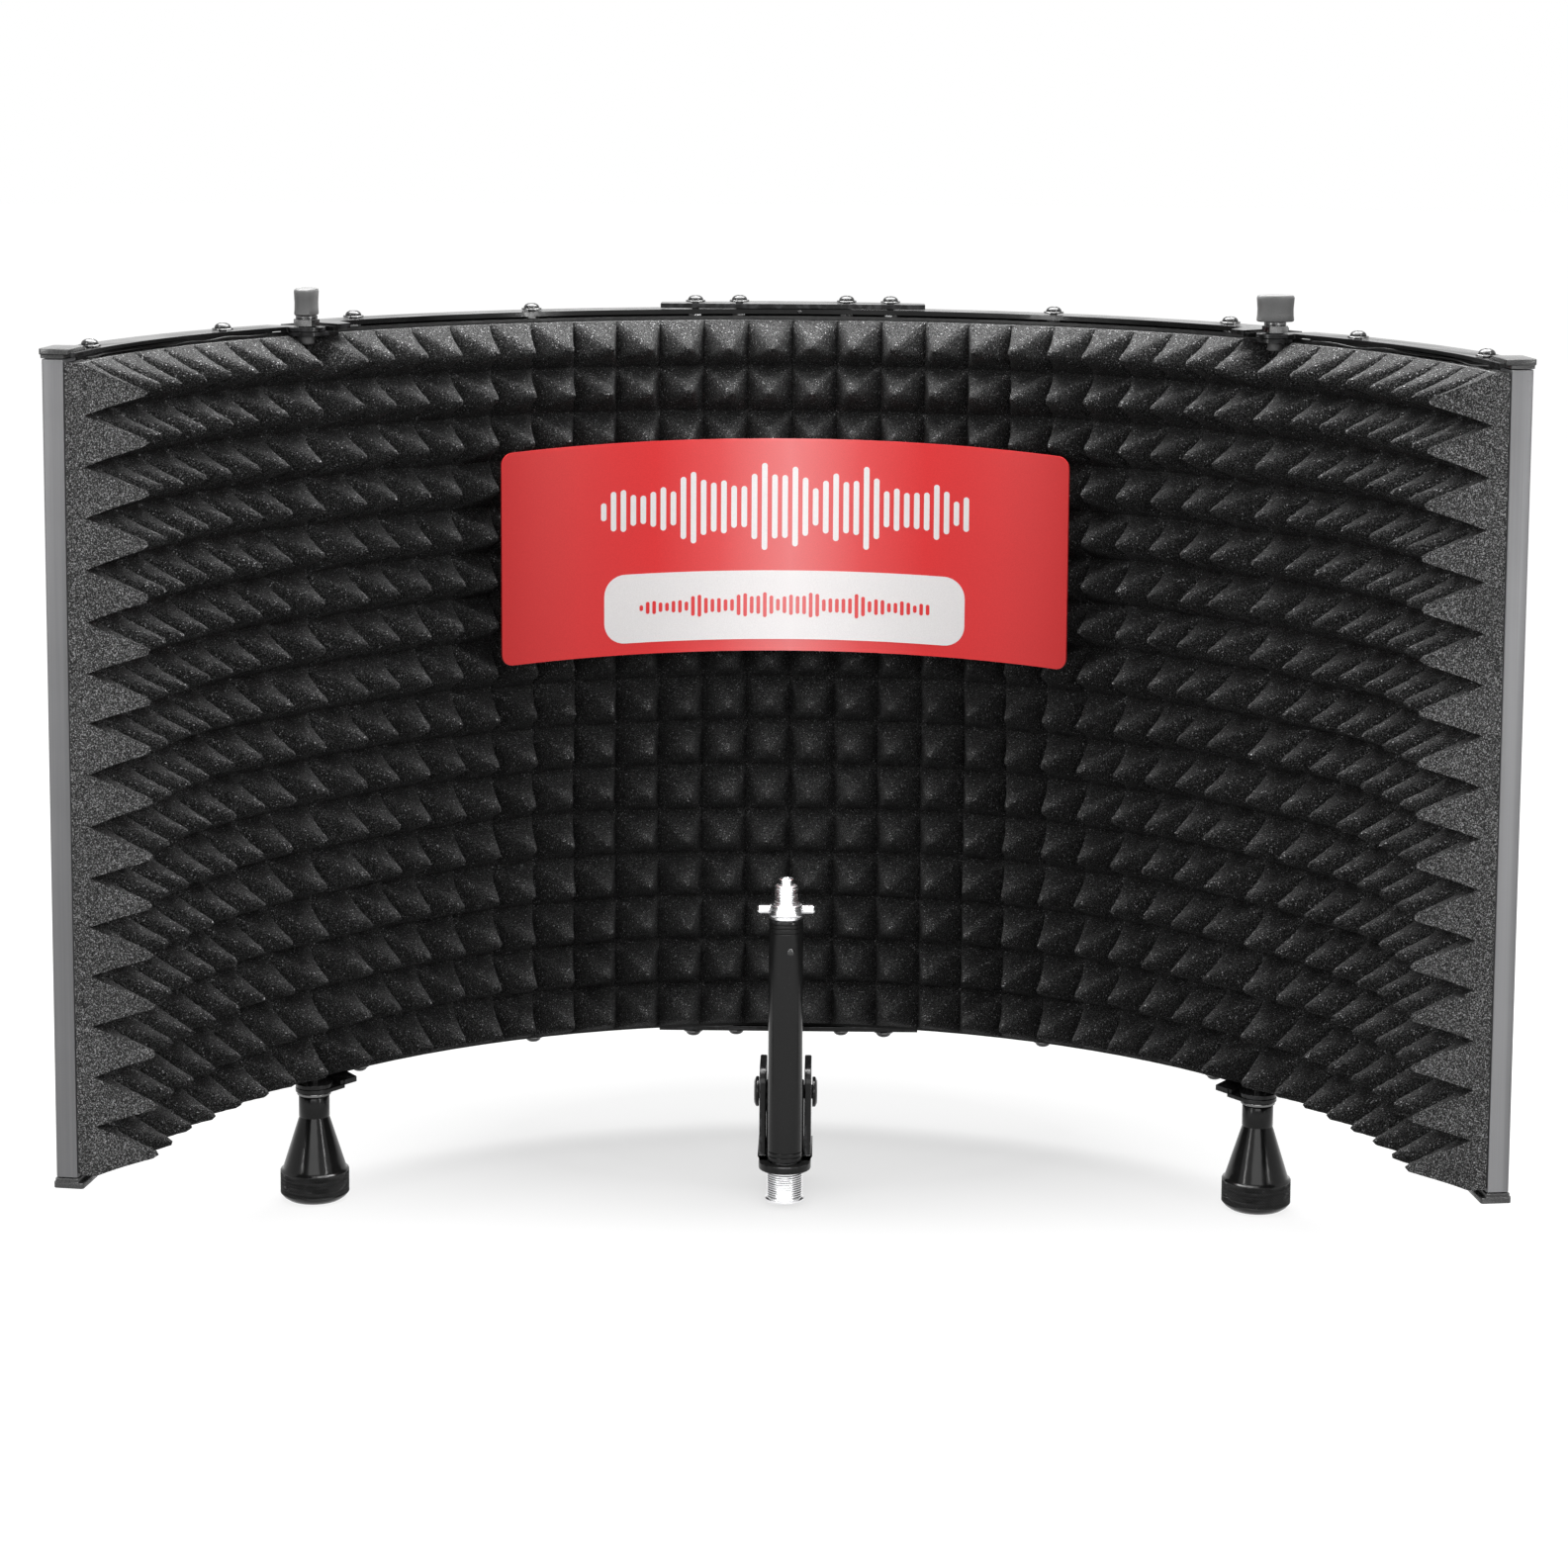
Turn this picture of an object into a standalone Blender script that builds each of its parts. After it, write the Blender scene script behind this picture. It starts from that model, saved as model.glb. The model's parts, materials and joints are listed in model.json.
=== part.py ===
"""Microphone isolation shield: a curved centre panel and two hinged wings, each a foam block between two
pressed rails in front of a sheet back, on two turned feet, with a tilting mic and stand mount.

Frame: +X to the right, the open side faces -Y, +Z up, and the origin is at the middle of the base of the
box round the whole shield. Lengths are in millimetres and angles in degrees up to the meshes, which are
made in metres. In plan, an arc angle of 0 points to the back (+Y) from the arc's centre, and it grows
towards +X."""

import math

import bmesh
import bpy
from mathutils import Matrix, Vector

MM = 0.001

# Foam blocks
PITCH = 19.05  # pyramid to pyramid, 3/4 inch
ROWS = 16
CENTRE_COLUMNS = 24
WING_COLUMNS = 7.5  # the free end is cut through the tips of a column
FOAM_BACK_R = 248.7
FOAM_BASE_R = 242.0
FOAM_TIP_R = 216.7
NEUTRAL_R = 245.0  # where the bent base keeps its flat length
END_SQUEEZE = 1.3  # how far the seams push in the centre block's end columns
SQUEEZE_POWER = 6

# Panels in plan
COLUMN_ANGLE = math.degrees(PITCH / NEUTRAL_R)
CENTRE_FOAM_EDGE = CENTRE_COLUMNS / 2 * COLUMN_ANGLE - END_SQUEEZE
WING_FOAM_EDGE = 54.0
WING_COLUMN_ANGLE = 4.55
WING_END = WING_FOAM_EDGE + WING_COLUMNS * WING_COLUMN_ANGLE
HINGE_R = 240.5
HINGE_ANGLE = 53.1
WING_OPENING = 6.0  # how far the wings stand open from the centre panel's own curve
SHEET_R = 249.0
SHEET_THICK = 0.8
CENTRE_SHEET_EDGE = 52.8
WING_SHEET_EDGE = 53.6
CENTRE_LIP_EDGE = 52.4
WING_LIP_EDGE = 54.0
RAIL_OUT_R = 258.4
LIP_THICK = 1.2
LIP_DROP = 12.0

# Levels above the floor
FOAM_BOTTOM = 48.6
FOAM_TOP = FOAM_BOTTOM + ROWS * PITCH
GAP = 0.3
SHEET_ABOVE = 1.4  # how far the sheet goes up past the foam


class Level:
    """One edge of the shield. Heights count outwards from the foam: up at the top, down at the bottom."""

    def __init__(self, sign, front, tab, wing, centre, bracket, bracket_front, lug_start):
        self.sign = sign
        self.foam = FOAM_TOP if sign > 0 else FOAM_BOTTOM
        self.front = front  # inner radius of the rails
        self.tab = tab
        self.wing = wing
        self.centre = centre
        self.bracket = bracket
        self.bracket_front = bracket_front
        self.lug_start = lug_start

    def z(self, out):
        return self.foam + self.sign * out

    def place(self):
        """Turns a body built upwards from the foam's edge into its place, by a mirror at the bottom."""
        mirror = Matrix.Diagonal((1.0, 1.0, self.sign, 1.0))
        return Matrix.Translation((0.0, 0.0, self.foam)) @ mirror


# At the top the centre rail's tabs go under the wings' lugs, and at the bottom over the feet
LEVELS = {
    "top": Level(1, 244.5, (0.3, 1.8), (2.1, 3.7), (2.6, 4.6), (4.9, 6.9), 243.0, 62.0),
    "bottom": Level(-1, 247.5, (2.2, 3.8), (0.3, 1.9), (0.3, 2.5), (2.8, 4.8), 246.0, 40.0),
}
# Hinge hardware
LUG_R = 7.6
STUD_R = 2.9
STUD_HOLE_R = 3.3
RISER_ANGLE = 50.75
RISER_THICK = 1.8
ROOT_LONG = 7.0  # how far the centre rail keeps its lug's width behind the step
HINGE_NUT_R = 5.2
NUT_HEIGHT = 2.7
COLLAR_R = 4.4
COLLAR_HEIGHT = 1.4
KNOB_HEIGHT = 10.6
KNOB_BROAD = 15.2
KNOB_NARROW = 9.2
KNOB_TURN = {"left": 78.0, "right": 8.0}
STUD_REACH = 3.2  # past the tab, towards the foam
FOOT_WASHER = 1.1
FOOT_WASHER_R = 7.0
FOOT_PROFILE = (
    (11.2, 0.0),
    (14.0, 2.6),
    (14.0, 12.0),
    (13.1, 12.4),
    (6.05, 34.4),
    (6.05, 41.2),
    (7.0, 41.4),
)

# Screws: pan head, washer, shank and, under the centre rails, a nut
SCREW_R = 253.4
CENTRE_SCREWS = (25.6, 44.7)
BRACKET_SCREWS_X = (22.8, 41.4)
WING_SCREW_R = 249.6
WING_SCREWS = (61.6, 82.0)
SHANK_R = 1.5
SCREW_HOLE_R = 1.9
WASHER_R = 4.2
WASHER_THICK = 0.7
HEAD_R = 3.3
HEAD_HEIGHT = 2.1
NUT_R = 3.0
SCREW_NUT_HEIGHT = 2.0

# End posts and their caps, measured from the wing's free end
POST_IN_R = 249.0
POST_OUT_R = 257.6
POST_DEEP = 14.0
POST_CORNER = 0.9
POST_PROUD = 1.2  # past the foam's edges
CAP_IN_R = 246.6
CAP_OUT_R = 258.4
CAP_DEEP = 16.0
CAP_PROUD = 1.0
CAP_CORNER = 1.2
CAP_THICK = 2.2
CAP_RING = 1.5

# Centre bracket
BRACKET_HALF = 56.0
STRAP_HALF = 22.0
STRAP_IN = 258.8
STRAP_THICK = 1.8
ARM_X = (-7.4, -5.0)
ARM_HIGH = 17.0

# Mic mount; its places in plan are measured from the arc's centre
MOUNT_Y = 143.8
PIVOT_Y = 166.0
PIVOT_Z = 40.0
EAR_X = (7.8, 10.7)
EAR_TOP = 54.0
EAR_FRONT = 150.0
EAR_REAR = 178.0
EAR_CORNER = 7.0
YOKE_BASE_Z = (14.4, 17.5)
TUBE_R = 7.0
TUBE_BORE_R = 5.5
TUBE_Z = (17.8, 118.4)
SPIGOT_R = 5.2
THREAD_R = 4.76  # 3/8 inch
ADAPTER_TOP = 135.0
RING_Z = (120.3, 124.4)
RING_R = 7.5
RING_WING = 11.8
INSERT_R = 7.4
INSERT_FLANGE_R = 8.2
INSERT_Z = 1.0
BOLT_HEAD_R = 6.2
BOLT_HEAD_THICK = 2.0
BOLT_R = 2.9
SPACER_R = 5.0

# Display card in front of the foam tips
CARD_R = 215.2
CARD_THICK = 0.8
CARD_HALF_ANGLE = 33.2
CARD_Z = (212.5, 303.5)

ARC_STEP = 3.4  # degrees, the longest facet of a curved rail


def polar(radius, angle):
    return radius * math.sin(math.radians(angle)), radius * math.cos(math.radians(angle))


HINGE = polar(HINGE_R, HINGE_ANGLE)


def turned(point, angle):
    """A plan point of the right wing, turned about its hinge; positive opens the wing."""
    c, s = math.cos(math.radians(angle)), math.sin(math.radians(angle))
    x, y = point[0] - HINGE[0], point[1] - HINGE[1]
    return HINGE[0] + c * x - s * y, HINGE[1] + s * x + c * y


def end_point(radial, along):
    """A plan point of the right wing in its free end's own axes: along the radius, and past the end."""
    x, y = polar(radial, WING_END)
    dx, dy = polar(along, WING_END + 90)
    return x + dx, y + dy


def end_rectangle(inner, outer, deep, proud):
    corners = ((inner, proud), (outer, proud), (outer, -deep), (inner, -deep))
    return [end_point(radial, along) for radial, along in corners]


def rounded(outline, radius, steps=3):
    """The outline of a convex shape with its corners cut to short arcs."""
    points = []
    count = len(outline)
    for i, corner in enumerate(outline):
        corner = Vector(corner)
        before = (Vector(outline[i - 1]) - corner).normalized() * radius
        after = (Vector(outline[(i + 1) % count]) - corner).normalized() * radius
        centre = corner + before + after
        for step in range(steps + 1):
            share = step / steps * math.pi / 2
            offset = -after * math.cos(share) - before * math.sin(share)
            points.append(tuple(centre + offset))
    return points


CAP_OUTLINE = rounded(end_rectangle(CAP_IN_R, CAP_OUT_R, CAP_DEEP, CAP_PROUD), CAP_CORNER)
FOAM_END_TIP = end_point(FOAM_TIP_R, 0.0)
FRONT_Y = min(turned(point, WING_OPENING)[1] for point in (*CAP_OUTLINE, FOAM_END_TIP))
BACK_Y = STRAP_IN + STRAP_THICK
ARC_Y = -(FRONT_Y + BACK_Y) / 2  # the arc centre's place in the frame


# Mesh helpers: each takes millimetres and gives a bmesh


def faces_between(bm, low, high):
    count = len(low)
    for i in range(count):
        j = (i + 1) % count
        bm.faces.new((low[i], low[j], high[j], high[i]))


def loft(rings):
    """A closed body through rings with the same number of points each, capped at both ends."""
    bm = bmesh.new()
    loops = [[bm.verts.new(point) for point in ring] for ring in rings]
    for low, high in zip(loops, loops[1:]):
        faces_between(bm, low, high)
    bm.faces.new(loops[0])
    bm.faces.new(loops[-1])
    return bm


def closed_loop(rings):
    """A body with a hole through it, from rings that go up its outside and back down its inside."""
    bm = bmesh.new()
    loops = [[bm.verts.new(point) for point in ring] for ring in rings]
    for low, high in zip(loops, loops[1:] + loops[:1]):
        faces_between(bm, low, high)
    return bm


def prism(outline, low, high):
    return loft([[(x, y, z) for x, y in outline] for z in (low, high)])


def circle(radius, z, count=24, centre=(0.0, 0.0)):
    turns = [2 * math.pi * i / count for i in range(count)]
    return [(centre[0] + radius * math.cos(a), centre[1] + radius * math.sin(a), z) for a in turns]


def hexagon(radius, z):
    """A hexagon with a point in the middle of each side, to meet rings of 12 points."""
    reach = (radius, radius * math.cos(math.pi / 6))
    turns = [math.pi * i / 6 for i in range(12)]
    return [(reach[i % 2] * math.cos(a), reach[i % 2] * math.sin(a), z) for i, a in enumerate(turns)]


def turned_body(profile, count=24):
    """A solid of revolution about Z, from (radius, z) pairs going up."""
    return loft([circle(radius, z, count) for radius, z in profile])


def tube_body(outside, inside, count=24):
    """A ring-shaped solid of revolution: the outer profile goes up, and the inner one comes back down."""
    return closed_loop([circle(radius, z, count) for radius, z in (*outside, *inside)])


def arc_angles(start, end):
    count = max(2, math.ceil(abs(end - start) / ARC_STEP))
    return [start + (end - start) * i / count for i in range(count + 1)]


def arc_points(radius, start, end):
    return [polar(radius, angle) for angle in arc_angles(start, end)]


def arc_block(inner, outer, low, high, start, end):
    return prism(arc_points(outer, start, end) + arc_points(inner, end, start), low, high)


def box(low, high):
    (x0, y0, z0), (x1, y1, z1) = low, high
    return prism(((x0, y0), (x1, y0), (x1, y1), (x0, y1)), z0, z1)


def moved(bm, matrix):
    bmesh.ops.transform(bm, matrix=matrix, verts=bm.verts)
    return bm


def at(x, y, z=0.0):
    return Matrix.Translation((x, y, z))


MIRROR_X = Matrix.Diagonal((-1.0, 1.0, 1.0, 1.0))
TO_FRAME = at(0.0, ARC_Y)


# Objects and materials


def material(name, colour, roughness, metallic=0.0):
    made = bpy.data.materials.new(name)
    made.use_nodes = True
    shader = made.node_tree.nodes["Principled BSDF"]
    shader.inputs["Base Color"].default_value = (*colour, 1.0)
    shader.inputs["Roughness"].default_value = roughness
    shader.inputs["Metallic"].default_value = metallic
    return made


def new_object(name, bm, finish=None, parent=None, smooth_angle=None):
    """Puts a bmesh in millimetres into the scene in metres, with its faces pointing out."""
    bmesh.ops.scale(bm, vec=(MM, MM, MM), verts=bm.verts)
    bmesh.ops.recalc_face_normals(bm, faces=bm.faces)
    mesh = bpy.data.meshes.new(name)
    bm.to_mesh(mesh)
    bm.free()
    if smooth_angle is not None:
        mesh.shade_smooth()
        mesh.set_sharp_from_angle(angle=math.radians(smooth_angle))
    made = bpy.data.objects.new(name, mesh)
    bpy.context.scene.collection.objects.link(made)
    if finish is not None:
        mesh.materials.append(finish)
    if parent is not None:
        made.parent = parent
    return made


def helper(name, bm, parent=None):
    made = new_object(name, bm, parent=parent)
    made.hide_render = True
    made.display_type = "WIRE"
    return made


def combine(target, other, operation):
    modifier = target.modifiers.new(other.name, "BOOLEAN")
    modifier.object = other
    modifier.operation = operation
    modifier.solver = "EXACT"


def joined_cylinders(places, radius, low, high):
    """Upright cylinders at plan places, in one bmesh, for cutting a row of holes."""
    bm = bmesh.new()
    for centre in places:
        loops = [[bm.verts.new(point) for point in circle(radius, z, 12, centre)] for z in (low, high)]
        faces_between(bm, *loops)
        bm.faces.new(loops[0])
        bm.faces.new(loops[1])
    return bm


def axis_empty(name, x, y, z=0.0, turn=0.0):
    made = bpy.data.objects.new(name, None)
    made.location = Vector((x, y, z)) * MM
    made.rotation_euler.z = math.radians(turn)
    bpy.context.scene.collection.objects.link(made)
    return made


for old in list(bpy.data.objects):
    bpy.data.objects.remove(old)

BLACK_METAL = material("black_metal", (0.012, 0.012, 0.013), 0.22, 0.6)
BACK_METAL = material("back_metal", (0.02, 0.02, 0.021), 0.45, 0.5)
FOAM = material("charcoal_foam", (0.022, 0.022, 0.024), 0.95)
POST_METAL = material("grey_satin", (0.12, 0.12, 0.125), 0.42, 0.5)
BLACK_PLASTIC = material("black_plastic", (0.03, 0.03, 0.032), 0.4)
KNOB_PLASTIC = material("grey_knob", (0.09, 0.09, 0.09), 0.55)
CHROME = material("chrome", (0.85, 0.85, 0.86), 0.08, 1.0)
SCREW_METAL = material("black_screw", (0.03, 0.03, 0.032), 0.3, 0.8)
CARD = material("red_card", (0.62, 0.045, 0.05), 0.35)


# A wing's pieces hang on an empty on its hinge's axis, which is turned by the wing's opening


def wing_to_hinge(side):
    """From the right wing's plan about the arc's centre to the wing empty's own axes."""
    local = at(-HINGE[0], -HINGE[1])
    return local if side > 0 else MIRROR_X @ local


SIDES = {"left": -1, "right": 1}
WING_EMPTY = {
    name: axis_empty(name + "_hinge_axis", side * HINGE[0], ARC_Y + HINGE[1], turn=side * WING_OPENING)
    for name, side in SIDES.items()
}


# Foam


def foam_body(edges, tips, cut_end=False):
    """A block of square pyramids: edges are the valleys' angles, and tips the angles of the tips between
    them. With cut_end the last column is half a pyramid, cut through its tips."""
    bm = bmesh.new()
    heights = [FOAM_BOTTOM + row * PITCH for row in range(ROWS + 1)]

    def vertex(radius, angle, z):
        return bm.verts.new((*polar(radius, angle), z))

    base = [[vertex(FOAM_BASE_R, angle, z) for z in heights] for angle in edges]
    tip = [[vertex(FOAM_TIP_R, angle, z + PITCH / 2) for z in heights[:-1]] for angle in tips]
    low = [vertex(FOAM_BACK_R, angle, FOAM_BOTTOM) for angle in edges]
    high = [vertex(FOAM_BACK_R, angle, FOAM_TOP) for angle in edges]
    last = len(edges) - 2
    for column in range(len(edges) - 1):
        a, b = base[column], base[column + 1]
        for row in range(ROWS):
            apex = tip[column][row]
            bm.faces.new((a[row], a[row + 1], apex))
            bm.faces.new((a[row], apex, b[row]))
            bm.faces.new((a[row + 1], b[row + 1], apex))
            if not (cut_end and column == last):
                bm.faces.new((b[row + 1], b[row], apex))
        bm.faces.new((low[column], low[column + 1], high[column + 1], high[column]))
        bm.faces.new((low[column], low[column + 1], b[0], a[0]))
        bm.faces.new((high[column], high[column + 1], b[-1], a[-1]))
    bm.faces.new((low[0], *base[0], high[0]))
    face = base[-1]
    if cut_end:
        face = [point for row in range(ROWS) for point in (base[-1][row], tip[-1][row])] + [base[-1][-1]]
    bm.faces.new((low[-1], *face, high[-1]))
    return bm


def squeezed(columns_out):
    """The angle of a place on the centre block, counted in columns from its middle."""
    share = abs(columns_out) / (CENTRE_COLUMNS / 2)
    angle = abs(columns_out) * COLUMN_ANGLE - END_SQUEEZE * share**SQUEEZE_POWER
    return math.copysign(angle, columns_out)


half = CENTRE_COLUMNS // 2
centre_edges = [squeezed(i) for i in range(-half, half + 1)]
centre_tips = [squeezed(i + 0.5) for i in range(-half, half)]
new_object("centre_foam", moved(foam_body(centre_edges, centre_tips), TO_FRAME), FOAM)
wing_edges = [WING_FOAM_EDGE + WING_COLUMN_ANGLE * i for i in range(int(WING_COLUMNS) + 1)] + [WING_END]
wing_tips = [WING_FOAM_EDGE + WING_COLUMN_ANGLE * (i + 0.5) for i in range(int(WING_COLUMNS) + 1)]
for name, side in SIDES.items():
    foam = moved(foam_body(wing_edges, wing_tips, cut_end=True), wing_to_hinge(side))
    new_object(name + "_wing_foam", foam, FOAM, WING_EMPTY[name])


# Sheet backs

SHEET_END = WING_END - math.degrees(math.asin((POST_DEEP + GAP) / SHEET_R))


def sheet_back(start, end):
    outer = SHEET_R + SHEET_THICK
    return arc_block(SHEET_R, outer, FOAM_BOTTOM, FOAM_TOP + SHEET_ABOVE, start, end)


sheet = moved(sheet_back(-CENTRE_SHEET_EDGE, CENTRE_SHEET_EDGE), TO_FRAME)
new_object("centre_back_panel", sheet, BACK_METAL)
for name, side in SIDES.items():
    sheet = moved(sheet_back(WING_SHEET_EDGE, SHEET_END), wing_to_hinge(side))
    new_object(name + "_wing_back_panel", sheet, BACK_METAL, WING_EMPTY[name])


# Rails: a flat plate over the foam's edge, with a lip at its back. Built from the foam's edge upwards


def hinge_local(t, r):
    """A plan point in the right hinge's own axes: along the arc, away from the centre, and outwards."""
    outward = polar(1.0, HINGE_ANGLE)
    along = polar(1.0, HINGE_ANGLE + 90)
    return HINGE[0] + t * along[0] + r * outward[0], HINGE[1] + t * along[1] + r * outward[1]


def lug_points(start, end, count):
    """Points round the lug, by their angle from outwards, through away from the centre panel."""
    angles = [math.radians(start + (end - start) * i / count) for i in range(count + 1)]
    return [hinge_local(LUG_R * math.sin(angle), LUG_R * math.cos(angle)) for angle in angles]


RAIL_END = WING_END - math.degrees(math.asin((CAP_DEEP + GAP) / CAP_IN_R))
RISER_REACH = math.radians(HINGE_ANGLE - RISER_ANGLE) * HINGE_R


def wing_rail_plate(level):
    from_hinge = LUG_R * math.sin(math.radians(level.lug_start)) + 0.6
    meets_lug = HINGE_ANGLE + math.degrees(from_hinge / level.front)
    outline = arc_points(RAIL_OUT_R, WING_FOAM_EDGE + 0.4, RAIL_END)
    if level.front < CAP_IN_R - GAP:
        outline += arc_points(CAP_IN_R - GAP, RAIL_END, WING_END)
        outline += arc_points(level.front, WING_END, meets_lug)
    else:
        outline += arc_points(level.front, RAIL_END, meets_lug)
    outline += lug_points(level.lug_start, 350, 14)
    return prism(outline, *level.wing)


def centre_rail_plate(level):
    root = HINGE_ANGLE - math.degrees((RISER_REACH + ROOT_LONG + 5.0) / level.front)
    width = LUG_R + 0.2
    right = [hinge_local(-RISER_REACH, width), hinge_local(-RISER_REACH, -width)]
    right += [hinge_local(-RISER_REACH - ROOT_LONG, -width)]
    left = [(-x, y) for x, y in reversed(right)]
    back = arc_points(RAIL_OUT_R, -RISER_ANGLE, RISER_ANGLE)
    front = arc_points(level.front, root, -root)
    return prism(back + right + front + left, *level.centre)


def step_down(level):
    """The riser between the centre rail's plate and the tab on the hinge."""
    ends = sorted((*level.centre, *level.tab))
    width = LUG_R - 0.4
    corners = [
        hinge_local(-RISER_REACH - 0.6, -width),
        hinge_local(-RISER_REACH + RISER_THICK, -width),
        hinge_local(-RISER_REACH + RISER_THICK, width),
        hinge_local(-RISER_REACH - 0.6, width),
    ]
    return prism(corners, ends[0] + 0.1, ends[-1] - 0.9)


def tab(level):
    outline = [hinge_local(-RISER_REACH - 0.3, LUG_R), hinge_local(-RISER_REACH - 0.3, -LUG_R)]
    return prism(outline + lug_points(180, 0, 12), *level.tab)


def rail_lip(plate, start, end):
    middle = (plate[0] + plate[1]) / 2
    inner, outer = RAIL_OUT_R - LIP_THICK, RAIL_OUT_R - 0.1
    return arc_block(inner, outer, middle - LIP_DROP, middle, start, end)


BRACKET_X = [sign * x for x in BRACKET_SCREWS_X for sign in (-1, 1)]
BRACKET_PLACES = [(x, math.sqrt(SCREW_R**2 - x**2)) for x in BRACKET_X]
CENTRE_PLACES = [polar(SCREW_R, sign * angle) for angle in CENTRE_SCREWS for sign in (-1, 1)]
WING_PLACES = [polar(WING_SCREW_R, angle) for angle in WING_SCREWS]
CUT_LOW, CUT_HIGH = -6.0, 14.0

for which, level in LEVELS.items():
    to_edge = level.place()
    name = "centre_" + which
    rail = new_object(name + "_rail", moved(centre_rail_plate(level), TO_FRAME @ to_edge), BLACK_METAL)
    lip = rail_lip(level.centre, -CENTRE_LIP_EDGE, CENTRE_LIP_EDGE)
    combine(rail, helper(name + "_lip", moved(lip, TO_FRAME @ to_edge)), "UNION")
    for side_name, side in SIDES.items():
        place = TO_FRAME @ to_edge @ (Matrix.Identity(4) if side > 0 else MIRROR_X)
        combine(rail, helper(name + "_step_" + side_name, moved(step_down(level), place)), "UNION")
        combine(rail, helper(name + "_tab_" + side_name, moved(tab(level), place)), "UNION")
    holes = joined_cylinders(CENTRE_PLACES + BRACKET_PLACES, SCREW_HOLE_R, CUT_LOW, CUT_HIGH)
    combine(rail, helper(name + "_screw_holes", moved(holes, TO_FRAME @ to_edge)), "DIFFERENCE")
    studs = joined_cylinders([HINGE, (-HINGE[0], HINGE[1])], STUD_HOLE_R, CUT_LOW, CUT_HIGH)
    combine(rail, helper(name + "_stud_holes", moved(studs, TO_FRAME @ to_edge)), "DIFFERENCE")
    for side_name, side in SIDES.items():
        place = wing_to_hinge(side) @ to_edge
        empty = WING_EMPTY[side_name]
        name = side_name + "_wing_" + which
        rail = new_object(name + "_rail", moved(wing_rail_plate(level), place), BLACK_METAL, empty)
        lip = rail_lip(level.wing, WING_LIP_EDGE, RAIL_END - 0.1)
        combine(rail, helper(name + "_lip", moved(lip, place), empty), "UNION")
        holes = joined_cylinders(WING_PLACES, SCREW_HOLE_R, CUT_LOW, CUT_HIGH)
        combine(rail, helper(name + "_screw_holes", moved(holes, place), empty), "DIFFERENCE")
        stud = joined_cylinders([HINGE], STUD_HOLE_R, CUT_LOW, CUT_HIGH)
        combine(rail, helper(name + "_stud_hole", moved(stud, place), empty), "DIFFERENCE")


# Screws


def screw(seat, nut_seat, tail):
    """A pan-head screw and washer on a plate at height seat; a nut hangs from nut_seat if there is one."""
    rings = [circle(SHANK_R, tail, 12)]
    if nut_seat is not None:
        nut_top = nut_seat - GAP
        nut_low = nut_top - SCREW_NUT_HEIGHT
        rings += [circle(SHANK_R, nut_low, 12), hexagon(NUT_R, nut_low)]
        rings += [hexagon(NUT_R, nut_top), circle(SHANK_R, nut_top, 12)]
    low = seat + GAP
    head = low + WASHER_THICK
    profile = [(SHANK_R, low), (WASHER_R, low), (WASHER_R, head), (HEAD_R, head)]
    profile += [(HEAD_R * 0.93, head + HEAD_HEIGHT * 0.6), (HEAD_R * 0.55, head + HEAD_HEIGHT)]
    return loft(rings + [circle(radius, z, 12) for radius, z in profile])


TAIL, WING_TAIL = 0.5, 0.1  # how far a screw's end stands out of its nut or its tapped hole
for which, level in LEVELS.items():
    to_edge = level.place()
    under = level.centre[0]
    tail = under - GAP - SCREW_NUT_HEIGHT - TAIL
    seats = [(place, level.centre[1]) for place in CENTRE_PLACES]
    seats += [(place, level.bracket[1]) for place in BRACKET_PLACES]
    for number, (place, seat) in enumerate(seats, 1):
        body = moved(screw(seat, under, tail), TO_FRAME @ to_edge @ at(*place))
        new_object(f"centre_{which}_screw_{number}", body, SCREW_METAL, smooth_angle=35)
    for name, side in SIDES.items():
        for number, place in enumerate(WING_PLACES, 1):
            body = screw(level.wing[1], None, level.wing[0] - WING_TAIL)
            body = moved(body, wing_to_hinge(side) @ to_edge @ at(*place))
            label = f"{name}_wing_{which}_screw_{number}"
            new_object(label, body, SCREW_METAL, WING_EMPTY[name], smooth_angle=35)


# Hinge knobs, nuts and feet


def knob_outline(z, scale=1.0, count=24):
    """A flattened round: flat broad faces, round ends."""
    points = []
    for x, y, _ in circle(1.0, z, count):
        broad = math.copysign(abs(x) ** 0.85, x) * KNOB_BROAD / 2 * scale
        narrow = math.copysign(abs(y) ** 0.7, y) * KNOB_NARROW / 2 * scale
        points.append((broad, narrow, z))
    return points


HINGE_SEAT = LEVELS["top"].z(LEVELS["top"].wing[1])
NUT_Z = HINGE_SEAT + GAP
COLLAR_Z = NUT_Z + NUT_HEIGHT
KNOB_Z = COLLAR_Z + COLLAR_HEIGHT + GAP
KNOB_STUD_END = FOAM_TOP - STUD_REACH
FOOT_STUD_END = FOAM_BOTTOM + STUD_REACH
WASHER_Z = LEVELS["bottom"].z(LEVELS["bottom"].tab[1]) - GAP - FOOT_WASHER



def hinge_knob(turn):
    """A thumb knob and the stud fixed in it, about the hinge's axis."""
    rings = [circle(STUD_R, KNOB_STUD_END), circle(STUD_R, KNOB_Z), knob_outline(KNOB_Z)]
    rings += [knob_outline(KNOB_Z + KNOB_HEIGHT - 1.0), knob_outline(KNOB_Z + KNOB_HEIGHT, 0.88)]
    return moved(loft(rings), Matrix.Rotation(math.radians(turn), 4, "Z"))


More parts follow.
